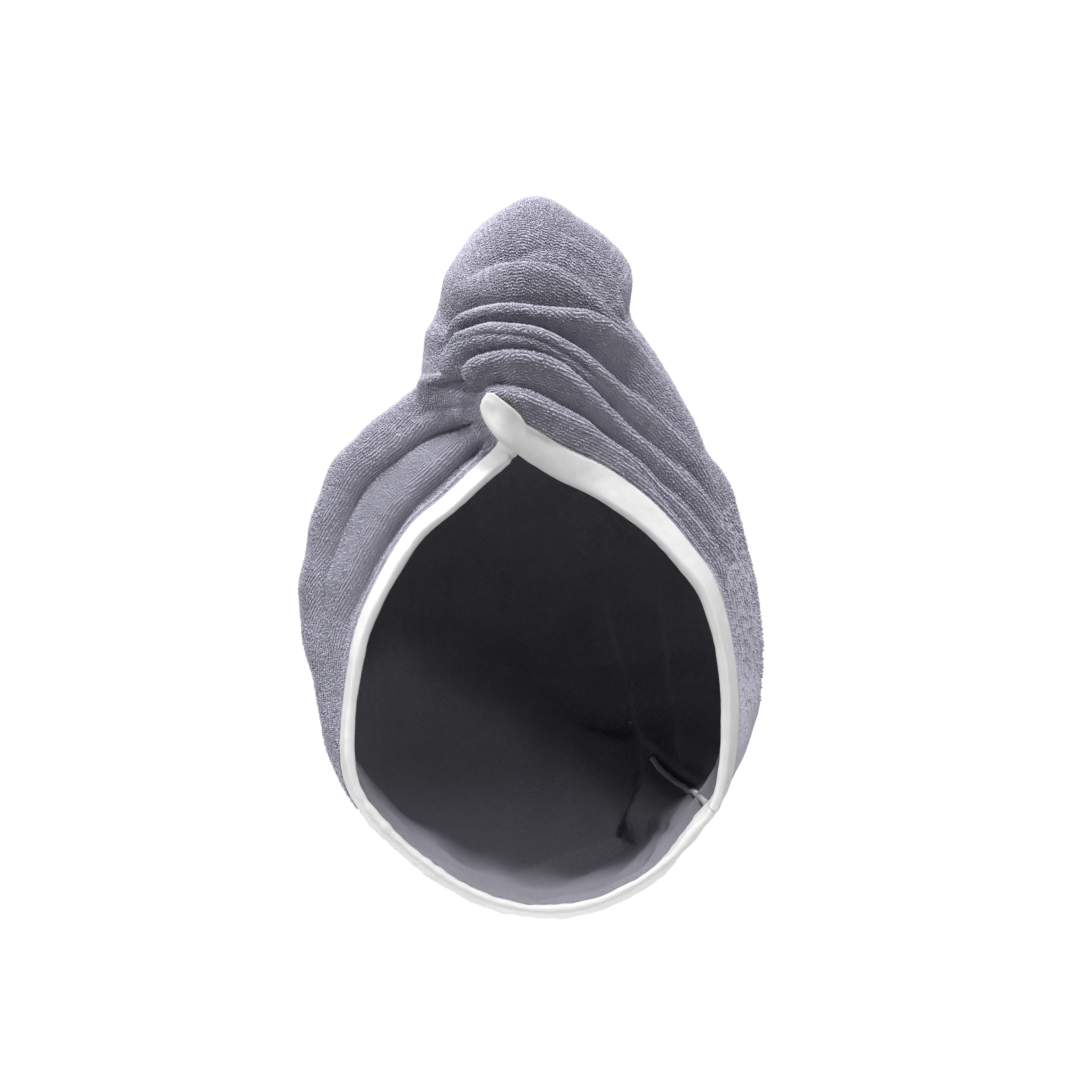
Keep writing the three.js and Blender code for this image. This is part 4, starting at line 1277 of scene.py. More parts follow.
@dataclass
class Tail:
    """The twisted tail from the roll over the crown and down the back to the nape.

    Attributes:
        hood: the hood that it lies on.
        radius: its radius at the roll.
        tip_radius: its radius at the nape.
        turns: how often it is twisted.
        strands: strands in the twist.
        groove: depth of the grooves between the strands.
        folds: depth of the smaller folds on the strands, and of the finest ones.
        round_end: length over which the nape end is rounded.
        gap: clearance from the hood.
        pole_reach: distance from the hood's middle line within which its pole stands for its surface.
        rings: grid rings along the tail.
        sides: grid points round it.
    """

    hood: Hood
    radius: float = 0.038
    tip_radius: float = 0.009
    turns: float = 2.2
    strands: int = 3
    groove: float = 0.0042
    folds: tuple[float, float] = (0.0016, 0.0007)
    round_end: float = 0.012
    gap: float = 0.0008
    pole_reach: float = 0.005
    rings: int = 300
    sides: int = 150

    def middle(self, shares: Array) -> Array:
        """Points of the tail's middle line, at shares of its table.

        Args:
            shares: how far along its table, from 0 to 1.

        Returns:
            One point for each share.
        """
        rows = spline(TAIL_ROWS, shares * (len(TAIL_ROWS) - 1))
        return np.stack(
            [np.zeros(len(shares)), rows[:, 0] * self.hood.depth, rows[:, 1] * self.hood.roll_height], axis=1
        )

    def radius_at(self, shares: Array) -> Array:
        """The tail's radius at shares of its table."""
        thick = spline(TAIL_ROWS, shares * (len(TAIL_ROWS) - 1))[:, 2]
        return self.tip_radius + (self.radius - self.tip_radius) * np.clip(thick, 0, None)

    def pressed(self, grid: Array, middle: Array) -> Array:
        """Keeps the tail clear of the hood, on which it lies.

        A point inside the hood moves towards a place on the middle line that is outside, by halving the step
        until it meets the hood's outside.

        Args:
            grid: the tail's points, ring by ring.
            middle: the middle line's points, one for each ring.

        Returns:
            The pressed grid.
        """

        def clear(points: Array) -> Array:
            """Clearance from the hood, which beside its back pole is the plain distance behind the pole."""
            beside = np.hypot(points[..., 0], points[..., 2]) < self.pole_reach
            return np.where(beside, points[..., 1] - self.hood.depth, self.hood.clearance_of(points))

        out = clear(middle) > self.gap
        first = np.flatnonzero(~out[: len(out) // 2])[-1] + 1
        target = middle[np.maximum(np.arange(len(middle)), first)][:, None, :]
        low, high = np.zeros(grid.shape[:2]), np.ones(grid.shape[:2])
        for _ in range(16):
            step = (low + high) / 2
            inside = clear(grid + (target - grid) * step[..., None]) < self.gap
            low, high = np.where(inside, step, low), np.where(inside, high, step)
        needed = clear(grid) < self.gap
        return np.where(needed[..., None], grid + (target - grid) * high[..., None], grid)

    def reach(self, shares: Array, angle: Array) -> Array:
        """How far the tail's surface lies from its middle line.

        The section turns as it goes down. Its radius has a cusp between each strand and the next one, where a
        half wave of the cosine meets the next, and smaller folds of the same shape at a steeper twist.

        Args:
            shares: how far down the tail each ring lies, from 0 to 1.
            angle: the angles round it, as one row.

        Returns:
            One row for each ring.
        """
        turn = (shares * self.turns * 2 * math.pi)[:, None]
        slow = 0.25 * np.sin(7 * shares * math.pi + 1.0)[:, None]
        strand = np.abs(np.cos(self.strands / 2 * (angle - turn + slow)))
        fine = np.abs(np.cos(3.5 * (angle - 1.12 * turn) + 1.3 * np.sin(angle) + 6 * shares[:, None]))
        finer = np.abs(np.cos(6.5 * (angle - 0.94 * turn) + 2.0 * np.sin(2 * angle)))
        radius = self.radius_at(shares)[:, None]
        size = radius / self.radius
        coarse, finest = self.folds
        reach = radius - self.groove * size * (1 - strand**0.8) * 1.6
        return reach - coarse * np.sqrt(size) * (1 - fine**0.7) - finest * (1 - finer)

    def build(self, material: bpy.types.Material) -> bpy.types.Object:
        """Makes the tail: rings round the middle line, uneven, pressed off the hood and rounded at the nape.

        Args:
            material: the terry.

        Returns:
            The piece.
        """
        shares = np.linspace(0, 1, self.rings)
        middle = self.middle(shares)
        tangent = unit(np.gradient(middle, axis=0))
        sideways = np.array([1.0, 0.0, 0.0])
        upward = unit(np.cross(sideways, tangent))
        angle = np.linspace(0, 2 * math.pi, self.sides, endpoint=False)[None, :]
        rounded = np.clip(lengths_along(middle[::-1, None], axis=0)[::-1] / self.round_end, 0.02, 1)
        end = np.sqrt(rounded * (2 - rounded))
        around = np.cos(angle)[..., None] * sideways + np.sin(angle)[..., None] * upward[:, None, :]
        grid = middle[:, None, :] + (self.reach(shares, angle) * end)[..., None] * around
        outward = unit(grid - middle[:, None, :])
        flat = grid.reshape(-1, 3)
        uneven = 0.0006 * ripple(flat, 0.028, 11) + 0.0002 * ripple(flat, 0.007, 12)
        grid = self.pressed(grid + outward * (uneven.reshape(grid.shape[:2]) * end)[..., None], middle)
        u = np.broadcast_to(lengths_along(middle[:, None], axis=0), (self.rings, self.sides + 1))
        v = lengths_along(np.concatenate([grid, grid[:, :1]], axis=1), axis=1)
        patch = grid_patch(grid, u, v, closed_v=True)
        first = np.arange(self.sides)
        patch = capped(patch, first, flipped=True)
        patch = capped(patch, first + (self.rings - 1) * self.sides, flipped=False)
        piece = make_piece("tail_cloth", patch, material)
        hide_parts("tail_twist")
        return piece


@dataclass
class Pile:
    """The loops of the terry on the front, as small plump beads in rows that follow the folds.

    Attributes:
        hood: the hood that they stand on.
        row: distance between the rows.
        pitch: distance between the loops of a row.
        size: half of a loop's length across the row, half of its length along the row, and its height.
        samples: columns of the surface that one stretch is read at.
        sections: the sections between which the loops stand, and the reach over which they thin out there.
        back_edge: how far before the middle of the back they end, and the reach over which they thin out there.
        seed: which scatter they have.
    """

    hood: Hood
    row: float = 0.0014
    pitch: float = 0.00088
    size: tuple[float, float, float] = (0.00062, 0.00042, 0.0008)
    samples: int = 700
    sections: tuple[float, float, float] = (16, 40.5, 5)
    back_edge: Point = (0.02, 0.025)
    seed: int = 71

    def build(self, name: str, first: float, last: float, material: bpy.types.Material) -> None:
        """Makes the loops between two sections.

        Args:
            name: the piece's name.
            first: the section where it starts.
            last: the section where it ends.
            material: its finish.
        """
        hood, dice = self.hood, np.random.default_rng(self.seed)
        numbers = np.linspace(first, last, self.samples)
        surface, normals = hood.at(hood.outside, numbers), hood.at(hood.normals, numbers)
        away = lengths_along(surface, axis=1)
        columns, reach = self.spots(surface, away, hood.tape_widths(numbers), dice)
        point, normal, along = self.read(surface, normals, away, columns, reach)
        own = columns.astype(int)
        before_end, fade = self.back_edge
        facing = smooth((-normal[:, 1] + 0.3) / 0.45) * smooth((away[own, -1] - before_end - reach) / fade)
        start, end, coming = self.sections
        share = smooth((numbers[own] - start) / coming) * smooth((end - numbers[own]) / coming)
        kept = (facing > 0.12) & (dice.uniform(size=len(facing)) < share * facing**0.5 * 1.3)
        patch = self.beads(point[kept], unit(normal[kept]), along[kept], facing[kept, None], dice)
        make_piece(name, turned_out(patch), material)

    def spots(self, surface: Array, away: Array, edge: Array, dice: np.random.Generator) -> tuple[Array, Array]:
        """Where the loops stand: each row is a line at one distance from the tape, cut at even lengths.

        Args:
            surface: the grid of points.
            away: the distance of each point from the edge.
            edge: the tape's width at each column.
            dice: the source of the scatter.

        Returns:
            The column of each loop, between whole numbers, and its distance from the edge.
        """
        spots = []
        for row in np.arange(self.row / 2, away.max() - edge.min(), self.row):
            line = self.across(surface, away - edge[:, None], row)
            length = lengths_along(line[:, None], axis=0)[:, 0]
            marks = np.arange(dice.uniform(0, self.pitch), length[-1], self.pitch)
            marks = marks + dice.normal(scale=0.16 * self.pitch, size=len(marks))
            columns = np.interp(marks, length, np.arange(len(surface)))
            spots.append(np.stack([columns, np.full(len(marks), row)], axis=1))
        columns, reach = np.concatenate(spots).T
        reach = reach + np.interp(columns, np.arange(len(edge)), edge)
        return columns, reach + dice.normal(scale=0.07 * self.row, size=len(reach))

    def beads(
        self, point: Array, normal: Array, along: Array, facing: Array, dice: np.random.Generator
    ) -> Patch:
        """The loops, each as two pyramids base to base, a little turned, tilted and uneven.

        A loop is smaller where the cloth turns away from the front. Its flat coordinates put its tip on a rib's
        top and its foot between two ribs, so that the finish paints shade at its foot, between the loops, and
        is light at its tip.

        Args:
            point: where they stand.
            normal: the cloth's normals there.
            along: the ways away from the edge there.
            facing: how far the cloth faces the front there, from 0 to 1, as one column.
            dice: the source of the unevenness.

        Returns:
            The loops as one patch.
        """
        turn = dice.normal(scale=0.25, size=(len(point), 1))
        side = unit(np.cross(normal, along))
        up = unit(normal + 0.25 * dice.normal(size=point.shape))
        cross = unit(np.cos(turn) * side + np.sin(turn) * unit(along))
        line = unit(np.cross(cross, up))
        scale = facing**0.5 * dice.uniform(0.8, 1.2, (len(point), 1))
        long, wide, high = (scale * length for length in self.size)
        centre = point + normal * (high * 0.35)
        corners = [
            centre + cross * long, centre + line * wide, centre - cross * long, centre - line * wide,
            centre + up * high, centre - up * high,
        ]
        points = np.stack(corners, axis=1).reshape(-1, 3)
        upper = [(0, 1, 4), (1, 2, 4), (2, 3, 4), (3, 0, 4)]
        shape = np.array(upper + [(1, 0, 5), (2, 1, 5), (3, 2, 5), (0, 3, 5)])
        faces = (np.arange(len(centre))[:, None, None] * 6 + shape).reshape(-1, 3)
        faces = np.hstack([faces, np.full((len(faces), 1), -1)])
        # Flat v that puts the finish's painted shade at the loop's foot, and its light colour at the tip.
        level = np.array([-0.1, -0.1, -0.1, -0.1, 0.25, -0.25]) * self.row
        flat = np.zeros((len(faces), 4, 2))
        flat[:, :3, 1] = np.tile(level[shape], (len(centre), 1))
        return Patch(points, faces, flat)

    def across(self, surface: Array, away: Array, row: float) -> Array:
        """The surface's line at one distance from the edge, where each column reaches that far.

        Args:
            surface: the grid of points.
            away: the distance of each point from the edge.
            row: the line's own distance.

        Returns:
            One point for each column.
        """
        places = np.array([np.interp(row, own, np.arange(len(own))) for own in away])
        low = np.minimum(places.astype(int), surface.shape[1] - 2)
        share = (places - low)[:, None]
        index = np.arange(len(surface))
        return surface[index, low] * (1 - share) + surface[index, low + 1] * share

    def read(
        self, surface: Array, normals: Array, away: Array, columns: Array, reach: Array
    ) -> tuple[Array, Array, Array]:
        """Points, normals and the ways along the columns at places of the surface.

        Args:
            surface: the grid of points.
            normals: its normals.
            away: the distance of each point from the edge.
            columns: which column each place is in, between whole numbers.
            reach: how far from the edge it is.

        Returns:
            The three as rows.
        """
        low = np.clip(columns.astype(int), 0, len(surface) - 2)
        share = (columns - low)[:, None]
        deep = np.empty(len(columns))
        for column in np.unique(low):
            here = low == column
            deep[here] = np.interp(reach[here], away[column], np.arange(away.shape[1]))
        step = np.minimum(deep.astype(int), surface.shape[1] - 2)
        part = (deep - step)[:, None]

        def mixed(grid: Array) -> Array:
            """A grid's value between four of its points."""
            near = grid[low, step] * (1 - part) + grid[low, step + 1] * part
            far = grid[low + 1, step] * (1 - part) + grid[low + 1, step + 1] * part
            return near * (1 - share) + far * share

        return mixed(surface), mixed(normals), surface[low, step + 1] - surface[low, step]


@dataclass
class Tape:
    """A length of satin tape folded round the hood's edge, over the cloth's outside and its lining.

    Attributes:
        hood: the hood that it binds.
        numbers: the sections that it runs along.
        name: the piece's name.
        node: the part's node that it stands for.
        flat_end: whether it begins with a flat end on the roll.
        seed: which unevenness it has.
        thickness: thickness of the tape.
        gap: clearance between tape and cloth.
        puff: how far the tape swells between its edge and its far end.
        across: grid points across each leg.
        bend: grid points round the folded edge.
        fold_thickness: thickness of the flat end with its edge folded under.
        arch: how far the flat end stands forward in its middle.
    """

    hood: Hood
    numbers: Array
    name: str
    node: str
    flat_end: bool = False
    seed: int = 21
    thickness: float = 0.0006
    gap: float = 0.0003
    puff: float = 0.0005
    across: int = 10
    bend: int = 7
    fold_thickness: float = 0.003
    arch: float = 0.0028

    def loop(self, sides: tuple[Array, Array], middles: tuple[Array, Array], into: Array) -> Array:
        """Closed loops of points round the folded tape.

        Args:
            sides: the outer face of the leg outside and of the leg inside, each from the edge to its far end.
            middles: the faces of the same legs that lie on the cloth.
            into: the way from the edge into the cloth, one for each loop.

        Returns:
            The loops: a tip, the outer face, the other tip and the inner face.
        """

        def round_edge(first: Array, second: Array) -> Array:
            """Half an ellipse from the first face's edge to the second one's."""
            angle = np.linspace(0, math.pi, self.bend + 2)[1:-1][None, :, None]
            centre, half = (first[:, :1] + second[:, :1]) / 2, (first[:, :1] - second[:, :1]) / 2
            size = np.linalg.norm(half, axis=2, keepdims=True)
            return centre + np.cos(angle) * half - np.sin(angle) * 0.8 * size * into[:, None]

        def tip(outer: Array, inner: Array) -> Array:
            """The rounded far end of a leg."""
            ahead = unit(outer[:, -1:] - outer[:, -2:-1])
            return (outer[:, -1:] + inner[:, -1:]) / 2 + ahead * self.thickness / 2

        (out, back), (out_in, back_in) = sides, middles
        return np.concatenate(
            [
                tip(out, out_in), out[:, ::-1], round_edge(out, back), back,
                tip(back, back_in), back_in[:, ::-1], round_edge(out_in, back_in)[:, ::-1], out_in,
            ],
            axis=1,
        )

    def lift(self, points: Array) -> Array:
        """How far the tape's outer face stands off the cloth: plump across, with soft dents and puckers.

        Args:
            points: the cloth under one leg, one row for each loop.

        Returns:
            One height for each point.
        """
        across = np.linspace(0, 1, self.across)[None, :]
        flat = points.reshape(-1, 3)
        dents = ripple(flat, 0.022, self.seed).reshape(points.shape[:2])
        puckers = ripple(flat, 0.0065, self.seed + 1).reshape(points.shape[:2])
        low = smooth((-points[..., 2] - 0.02) / 0.05)
        uneven = 0.00022 * dents + (0.00007 + 0.00016 * low) * puckers
        plump = self.puff * np.sin(math.pi * across) ** 0.7
        return self.gap + self.thickness + (plump + uneven) * (across < 1)

    def folded(self, numbers: Array) -> Array:
        """Loops of the tape folded round the hood's edge at some sections.

        Args:
            numbers: which sections, as places in the table.

        Returns:
            One loop for each section.
        """
        hood = self.hood
        rows = np.linspace(0, hood.hem_rows, self.across)

        def read(grid: Array) -> Array:
            """The hood's rows under the tape, read at the tape's own places."""
            columns = hood.at(grid, numbers).transpose(1, 0, 2)
            low = np.minimum(rows.astype(int), hood.hem_rows - 1)
            share = (rows - low)[:, None, None]
            return (columns[low] * (1 - share) + columns[low + 1] * share).transpose(1, 0, 2)

        out, back = read(hood.outside), read(hood.lining)
        out_way, back_way = unit(read(hood.normals)), -unit(read(hood.lining_normals))
        sides = out + out_way * self.lift(out)[..., None], back + back_way * self.lift(back)[..., None]
        middles = out + out_way * self.gap, back + back_way * self.gap
        return self.loop(sides, middles, unit(out[:, 1] - out[:, 0]))

    def laid(self) -> Array:
        """Loops of the flat end, which lies on the roll with its lower edge folded under."""
        upper, lower = (seen_from_front(tuple(row[k] for row in TAPE_END)) for k in (0, 1))
        across = np.linspace(0, 1, self.across)[None, :, None]
        seen = lower[:, None] * (1 - across) + upper[:, None] * across
        depth = self.hood.roll_depth(seen[..., 0], seen[..., 1])
        out = np.stack([seen[..., 0], depth, seen[..., 1]], axis=2)
        forward = np.array([0.0, -1.0, 0.0])
        under = out[:, :1] + (out - out[:, :1]) * 0.25 - forward * (self.fold_thickness - self.gap)
        sides = out + forward * self.lift(out)[..., None], under
        middles = out + forward * self.gap, under + forward * self.thickness
        return self.loop(sides, middles, unit(out[:, -1] - out[:, 0]))

    def begun(self, loops: Array) -> Array:
        """Loops from the tip of the flat end to the first folded loop.

        A cubic passes through the flat end's loops and some of the folded ones. The depth goes over from the
        roll's to the first folded loop's with the square of the way, less the arch as half a wave of the sine.

        Args:
            loops: the folded loops.

        Returns:
            The loops before them.
        """
        flat, laid = self.laid(), len(TAPE_END)
        share = (np.arange(laid) / laid)[:, None] ** 2
        arch = self.arch * np.sin(math.pi * (np.arange(laid) + 1) / (laid + 1))[:, None]
        flat[..., 1] = flat[..., 1] * (1 - share) + loops[0, :, 1] * share - arch
        control = np.concatenate([flat, loops[::14][:4]])
        begun = spline(control.reshape(len(control), -1), np.linspace(0, laid, 10 * laid, endpoint=False))
        return begun.reshape(len(begun), -1, 3)

    def build(self, material: bpy.types.Material) -> None:
        """Makes the tape from its loops, with both ends closed.

        Args:
            material: the satin.
        """
        loops = self.folded(self.numbers)
        if self.flat_end:
            loops = np.concatenate([self.begun(loops), loops])
        count, sides = loops.shape[:2]
        u = np.repeat(lengths_along(loops[:, sides // 4][:, None], axis=0), sides + 1, axis=1)
        v = lengths_along(np.concatenate([loops, loops[:, :1]], axis=1), axis=1)
        patch = grid_patch(loops, u, v, closed_v=True)
        ring = np.arange(sides)
        patch = strip_capped(patch, ring, flipped=False)
        patch = strip_capped(patch, ring + (count - 1) * sides, flipped=True)
        piece = make_piece(self.name, turned_out(patch), material)
        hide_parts(self.node)


@dataclass
class Seam:
    """The overlocked seam allowance on the lining at the lower right, with the knot of its thread at the edge.

    Attributes:
        hood: the hood that it is sewn in.
        width: half the ridge's width.
        height: half its height.
        thread: radius of the thread.
        pitch: distance between the turns of the thread.
        knot: radius of the knot.
        steps: rings along the ridge.
        sides: points round it.
    """

    hood: Hood
    width: float = 0.001
    height: float = 0.0009
    thread: float = 0.00026
    pitch: float = 0.0011
    knot: float = 0.0013
    steps: int = 70
    sides: int = 24

    def build(self, material: bpy.types.Material) -> None:
        """Makes the ridge of cloth, the thread wound round it and the knot, as one piece.

        Args:
            material: the thread's finish.
        """
        line, inward = self.course()
        aside = unit(np.cross(unit(np.gradient(line, axis=0)), inward))
        line = line + inward * self.height * 0.6
        ridge = self.ridge(line, aside, inward)
        patch = ridge.joined(self.winding(line, aside, inward)).joined(self.ball(line[-1]))
        piece = make_piece("seam_overlock", patch, material)
        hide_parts("inner_seam")

    def course(self) -> tuple[Array, Array]:
        """The seam's line on the lining, and the ways into the hood along it.

        Each is the mean of the lining's points or normals, weighted by one over the sixth power of how far
        they lie from the line as it is seen from the front.
        """
        pixels = spline(np.array(SEAM_LINE, float), np.linspace(0, len(SEAM_LINE) - 1, self.steps))
        seen = seen_from_front(tuple(map(tuple, pixels)))
        rows = slice(self.hood.hem_rows, None)
        points = self.hood.lining[:, rows].reshape(-1, 3)
        normals = self.hood.lining_normals[:, rows].reshape(-1, 3)
        away = (seen[:, :1] - points[:, 0]) ** 2 + (seen[:, 1:] - points[:, 2]) ** 2
        weight = 1 / (away + 1e-6) ** 3
        weight = weight / weight.sum(axis=1, keepdims=True)
        return weight @ points, -unit(weight @ normals)

    def ridge(self, line: Array, aside: Array, inward: Array) -> Patch:
        """The ridge of cloth: ragged ellipses round its line, closed at both ends.

        Args:
            line: its middle.
            aside: the ways across it.
            inward: the ways into the hood.

        Returns:
            The closed patch.
        """
        angle = np.linspace(0, 2 * math.pi, self.sides, endpoint=False)[None, :, None]
        ragged = 1 + 0.16 * ripple(line, 0.004, 31)[:, None, None] + 0.1 * np.sin(9 * angle)
        ring = np.cos(angle) * aside[:, None] * self.width + np.sin(angle) * inward[:, None] * self.height
        u = np.repeat(lengths_along(line[:, None], axis=0), self.sides + 1, axis=1)
        v = np.repeat(np.linspace(0, 8 * self.width, self.sides + 1)[None], self.steps, axis=0)
        patch = grid_patch(line[:, None] + ring * ragged, u, v, closed_v=True)
        first = np.arange(self.sides)
        patch = capped(patch, first, flipped=True)
        return turned_out(capped(patch, first + (self.steps - 1) * self.sides, flipped=False))

    def winding(self, line: Array, aside: Array, inward: Array) -> Patch:
        """The thread wound round the ridge: a screw line that leans and wavers a little.

        Args:
            line: its middle.
            aside: the ways across it.
            inward: the ways into the hood.

        Returns:
            The thread's patch.
        """
        length = lengths_along(line[:, None], axis=0)[:, 0]
        turns = length[-1] / self.pitch
        share = np.linspace(0, 1, int(turns * 18))
        place = share * (len(line) - 1)
        middle, side, up = (spline(rows, place) for rows in (line, aside, inward))
        angle = (2 * math.pi * turns * share + 0.5 * np.sin(19 * share))[:, None]
        reach = 1.12 + 0.08 * np.sin(41 * share)[:, None]
        screw = np.cos(angle) * side * self.width + np.sin(angle) * up * self.height
        return tube(middle + screw * reach, self.thread)

    def ball(self, centre: Array) -> Patch:
        """The knot: a thread wound in a ball.

        Args:
            centre: its middle.

        Returns:
            The thread's patch.
        """
        share = np.linspace(0.03, 0.97, 260)[:, None]
        turn, tilt = 2 * math.pi * 6 * share, math.pi * share
        ball = np.hstack([np.sin(tilt) * np.cos(turn), np.sin(tilt) * np.sin(turn), np.cos(tilt)])
        return tube(centre + self.knot * ball, self.thread * 1.4)


@dataclass
class Button:
    """The plain button at the nape: a dished disc with a raised rim, four holes and crossed thread.

    Attributes:
        radius: the disc's radius.
        thickness: its thickness.
        edge: radius of its rounded edges.
        post: the post's radius.
        post_length: length of the post, whose end meets the hood on one side.
        hole: a hole's radius.
        hole_circle: radius of the circle that the holes lie on.
        floor: what is left of the disc under a hole.
        rim: width of the raised rim.
        dish: depth of the dish.
        thread: radius of the thread.
        strand: distance between the strands of a bundle.
        rings: grid rings on the face.
        sides: grid points round the disc.
    """

    radius: float = 0.012
    thickness: float = 0.004
    edge: float = 0.001
    post: float = 0.0025
    post_length: float = 0.0165
    hole: float = 0.0011
    hole_circle: float = 0.0028
    floor: float = 0.0006
    rim: float = 0.0022
    dish: float = 0.0009
    thread: float = 0.00024
    strand: float = 0.00042
    rings: int = 90
    sides: int = 160

    def frame(self) -> tuple[Array, Array, Array, Array]:
        """Where this button stands: the middle of its outer side, its axis and two directions across.

        The axis is square to the tail's line near its end, 11 degrees off the axis of the part's button. The
        point of that button furthest along it is on the rim, so this one stands 11 mm from the part's.
        """
        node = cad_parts["nape_button"]
        points = np.empty(3 * len(node.data.vertices), np.float32)
        node.data.vertices.foreach_get("co", points)
        world = np.array(node.matrix_world)
        points = points.reshape(-1, 3) @ world[:3, :3].T + world[:3, 3]
        places = np.array([0.95, 0.96]) * (len(TAIL_ROWS) - 1)
        rows = spline(TAIL_ROWS, places) * (Hood.depth, Hood.roll_height, 1)
        along = unit(np.array([0.0, *(rows[1] - rows[0])[:2]]))
        across = np.array([1.0, 0.0, 0.0])
        axis = np.cross(across, along)
        height = points @ axis
        top = points[height > height.max() - 0.0002].mean(axis=0)
        return top, axis, across, along

    def face(self, reach: Array, angle: Array) -> Array:
        """Height of the outer face: a dish within a round rim, and four wells with rounded mouths.

        Args:
            reach: distances from the middle.
            angle: angles round it.

        Returns:
            One height for each place, with the rim at zero.
        """
        height = -self.dish * (1 - smooth((reach - (self.radius - self.rim - 0.001)) / 0.0012))
        away = np.full(np.broadcast(reach, angle).shape, np.inf)
        for quarter in range(4):
            turn = math.pi / 4 + quarter * math.pi / 2
            dx = reach * np.cos(angle) - self.hole_circle * math.cos(turn)
            dy = reach * np.sin(angle) - self.hole_circle * math.sin(turn)
            away = np.minimum(away, np.hypot(dx, dy))
        wells = 1 - smooth((away - self.hole + 0.0002) / 0.0004)
        return height - (self.thickness - self.dish - self.floor) * wells

    def build(self, material: bpy.types.Material, thread: bpy.types.Material) -> None:
        """Makes the disc with its post, and the thread through its holes.

        Args:
            material: the plastic.
            thread: the thread's finish.
        """
        top, axis, across, along = self.frame()
        edge = self.edge
        angle = np.linspace(0, 2 * math.pi, self.sides, endpoint=False)[None, :]
        reach = np.linspace(0, self.radius - edge, self.rings)[1:, None]
        turn = np.linspace(0, math.pi / 2, 8)[1:, None]
        face = self.face(reach, angle)
        rows = [
            (np.broadcast_to(reach, face.shape), face),
            (self.radius - edge * (1 - np.sin(turn)), -edge * (1 - np.cos(turn))),
            (self.radius - edge * (1 - np.cos(turn)), -(self.thickness - edge * (1 - np.sin(turn)))),
            (np.linspace(self.radius - 2 * edge, self.post, 8)[:, None], np.full((8, 1), -self.thickness)),
            (np.full((4, 1), self.post), -self.thickness - np.linspace(0.0004, self.post_length, 4)[:, None]),
        ]
        wide = [[np.broadcast_to(part, (len(part), self.sides)) for part in pair] for pair in rows]
        reaches, heights = (np.vstack([pair[k] for pair in wide]) for k in (0, 1))
        circle = np.cos(angle)[..., None] * across + np.sin(angle)[..., None] * along
        grid = top + reaches[..., None] * circle + heights[..., None] * axis
        closed = np.append(angle[0], 2 * math.pi)[None, :]
        u = np.hstack([reaches, reaches[:, :1]]) * np.cos(closed)
        v = np.hstack([reaches, reaches[:, :1]]) * np.sin(closed)
        patch = grid_patch(grid, u, v, closed_v=True)
        ring = np.arange(self.sides)
        patch = capped(patch, ring, flipped=True)
        patch = capped(patch, ring + (len(grid) - 1) * self.sides, flipped=False)
        disc = make_piece("button_disc", turned_out(patch), material)
        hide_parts("nape_button")
        make_piece("button_thread", self.stitches(top, axis, across, along), thread)

    def stitches(self, top: Array, axis: Array, across: Array, along: Array) -> Patch:
        """Two crossed bundles of thread from hole to hole, three turns each.

        Args:
            top: the middle of the disc's outer side.
            axis: the way out of it.
            across: the first way across it.
            along: the second one.

        Returns:
            The threads as one patch.
        """
        share = np.linspace(0, 1, 40)[:, None]
        lift = 0.0012 * (4 * share * (1 - share)) ** 0.3
        tubes = []
        for bundle, first in enumerate((across + along, across - along)):
            for strand in (-1, 0, 1):
                way = unit(first) * (1 - share) + unit(-first) * share
                side = unit(np.cross(axis, unit(first))) * strand * self.strand
                arch = np.sin(math.pi * share) * (0.0006 + 0.0003 * bundle) + lift
                line = top + way * self.hole_circle + side + axis * (arch - self.dish - 0.0011)
                tubes.append(tube(line, self.thread))
        return reduce(Patch.joined, tubes)


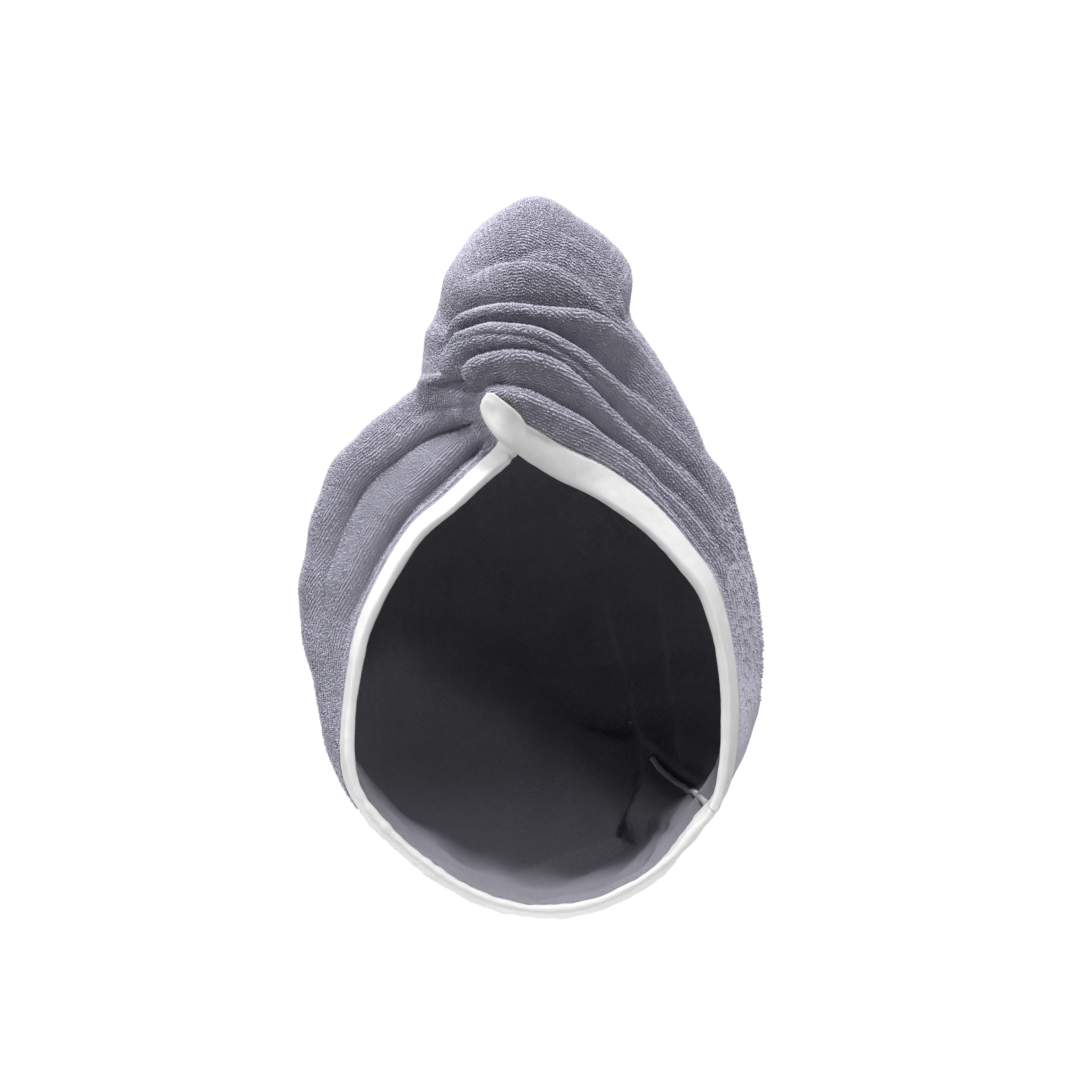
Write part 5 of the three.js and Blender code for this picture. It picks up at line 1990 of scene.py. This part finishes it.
@dataclass
class Studio:
    """The plain pale floor, the soft lights and the camera at the photograph's angle.

    Attributes:
        floor_height: how high the floor lies.
        floor_half: half the floor's side.
        haze: strength of the white surroundings as a light.
        distance: how far the camera stands from the opening.
        sensor: width of the camera's sensor, in millimetres.
    """

    floor_height: float = -0.2
    floor_half: float = 0.4
    haze: float = 0.03
    distance: float = 4.0
    sensor: float = 36.0

    def build(self) -> None:
        """Makes the floor, the white surroundings, the lights and the camera."""
        self.floor()
        self.surroundings()
        self.light("key", (0.1, -0.62, 1.55), 0.35, 28.0)
        self.light("front", (0.75, -1.9, 1.3), 0.3, 11.0)
        self.light("left", (-1.5, -0.05, 0.95), 0.5, 25.0)
        self.light("right", (1.5, 0.2, 0.75), 0.5, 8.0)
        self.light("back", (0.0, 1.8, 1.2), 0.9, 14.0)
        self.camera()

    def floor(self) -> None:
        """A wide pale floor below the part, which its mount holds up."""
        half = self.floor_half
        corners = [(-half, -half), (half, -half), (half, half), (-half, half)]
        mesh = bpy.data.meshes.new("floor")
        mesh.from_pydata([(x, y, self.floor_height) for x, y in corners], [], [(0, 1, 2, 3)])
        nodes = Nodes("floor")
        nodes.feed(Base_Color=(0.86, 0.86, 0.86, 1.0), Roughness=0.9)
        mesh.materials.append(nodes.material)
        floor = bpy.data.objects.new("floor", mesh)
        bpy.context.scene.collection.objects.link(floor)
        floor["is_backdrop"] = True

    def surroundings(self) -> None:
        """White surroundings that the camera sees, and that light the part more softly."""
        bpy.context.scene.view_settings.view_transform = "Standard"
        world = bpy.data.worlds.new("studio")
        bpy.context.scene.world = world
        world.use_nodes = True
        nodes = world.node_tree.nodes
        ray = nodes.new("ShaderNodeLightPath")
        strength = nodes.new("ShaderNodeMapRange")
        strength.inputs["To Min"].default_value = self.haze
        strength.inputs["To Max"].default_value = 1.0
        world.node_tree.links.new(ray.outputs["Is Camera Ray"], strength.inputs["Value"])
        world.node_tree.links.new(strength.outputs["Result"], nodes["Background"].inputs["Strength"])
        nodes["Background"].inputs["Color"].default_value = (1, 1, 1, 1)

    def light(self, name: str, place: tuple[float, float, float], size: float, power: float) -> None:
        """A square soft light that points at the part's middle.

        Args:
            name: its name.
            place: where it stands.
            size: the length of its side.
            power: its power in watts.
        """
        lamp = bpy.data.lights.new(name, "AREA")
        lamp.size, lamp.energy = size, power
        holder = bpy.data.objects.new(name, lamp)
        bpy.context.scene.collection.objects.link(holder)
        low, high = CAD_BOX
        holder.location = place
        holder.rotation_euler = ((low + high) / 2 - holder.location).to_track_quat("-Z", "Y").to_euler()

    def camera(self) -> None:
        """The camera before the opening, level, far away, with the photograph's frame."""
        data = bpy.data.cameras.new("camera")
        data.sensor_width = self.sensor
        data.lens = self.sensor * self.distance / (PHOTO_SIZE * PIXEL)
        data.clip_end = 50.0
        camera = bpy.data.objects.new("camera", data)
        bpy.context.scene.collection.objects.link(camera)
        camera.location = (0.0, -self.distance, (PHOTO_OPENING_Y - PHOTO_SIZE / 2) * PIXEL)
        camera.rotation_euler = (math.pi / 2, 0.0, 0.0)
        bpy.context.scene.camera = camera


def main() -> None:
    """Builds the pieces in order."""
    logging.basicConfig(level=logging.INFO, format="%(name)s: %(message)s")
    Studio().build()
    terry = TerryFinish().material("terry")
    satin = SatinFinish().material("satin")
    thread = ThreadFinish().material("thread")
    plastic = ButtonFinish().material("button")
    hood = Hood()
    cloth = hood.build(terry)
    tail = Tail(hood).build(terry)
    count = len(SECTIONS)
    over, under = np.linspace(count + 0.67, count + TAPE_JOIN, 280), np.linspace(TAPE_JOIN, count - 0.2, 400)
    Tape(hood, over, "over_tape", "over_binding", flat_end=True).build(satin)
    Tape(hood, under, "under_tape", "under_binding", seed=41).build(satin)
    Seam(hood).build(thread)
    pile = Pile(hood)
    pile.build("pile_left", PILE_LEFT_START, count - PILE_ROLL_LEFT, terry)
    pile.build("pile_roll", count - PILE_ROLL_LEFT, count + PILE_ROLL_RIGHT, terry)
    pile.build("pile_right", count + PILE_ROLL_RIGHT, count + PILE_RIGHT_END, terry)
    Button().build(plastic, thread)


if __name__ == "__main__":
    main()
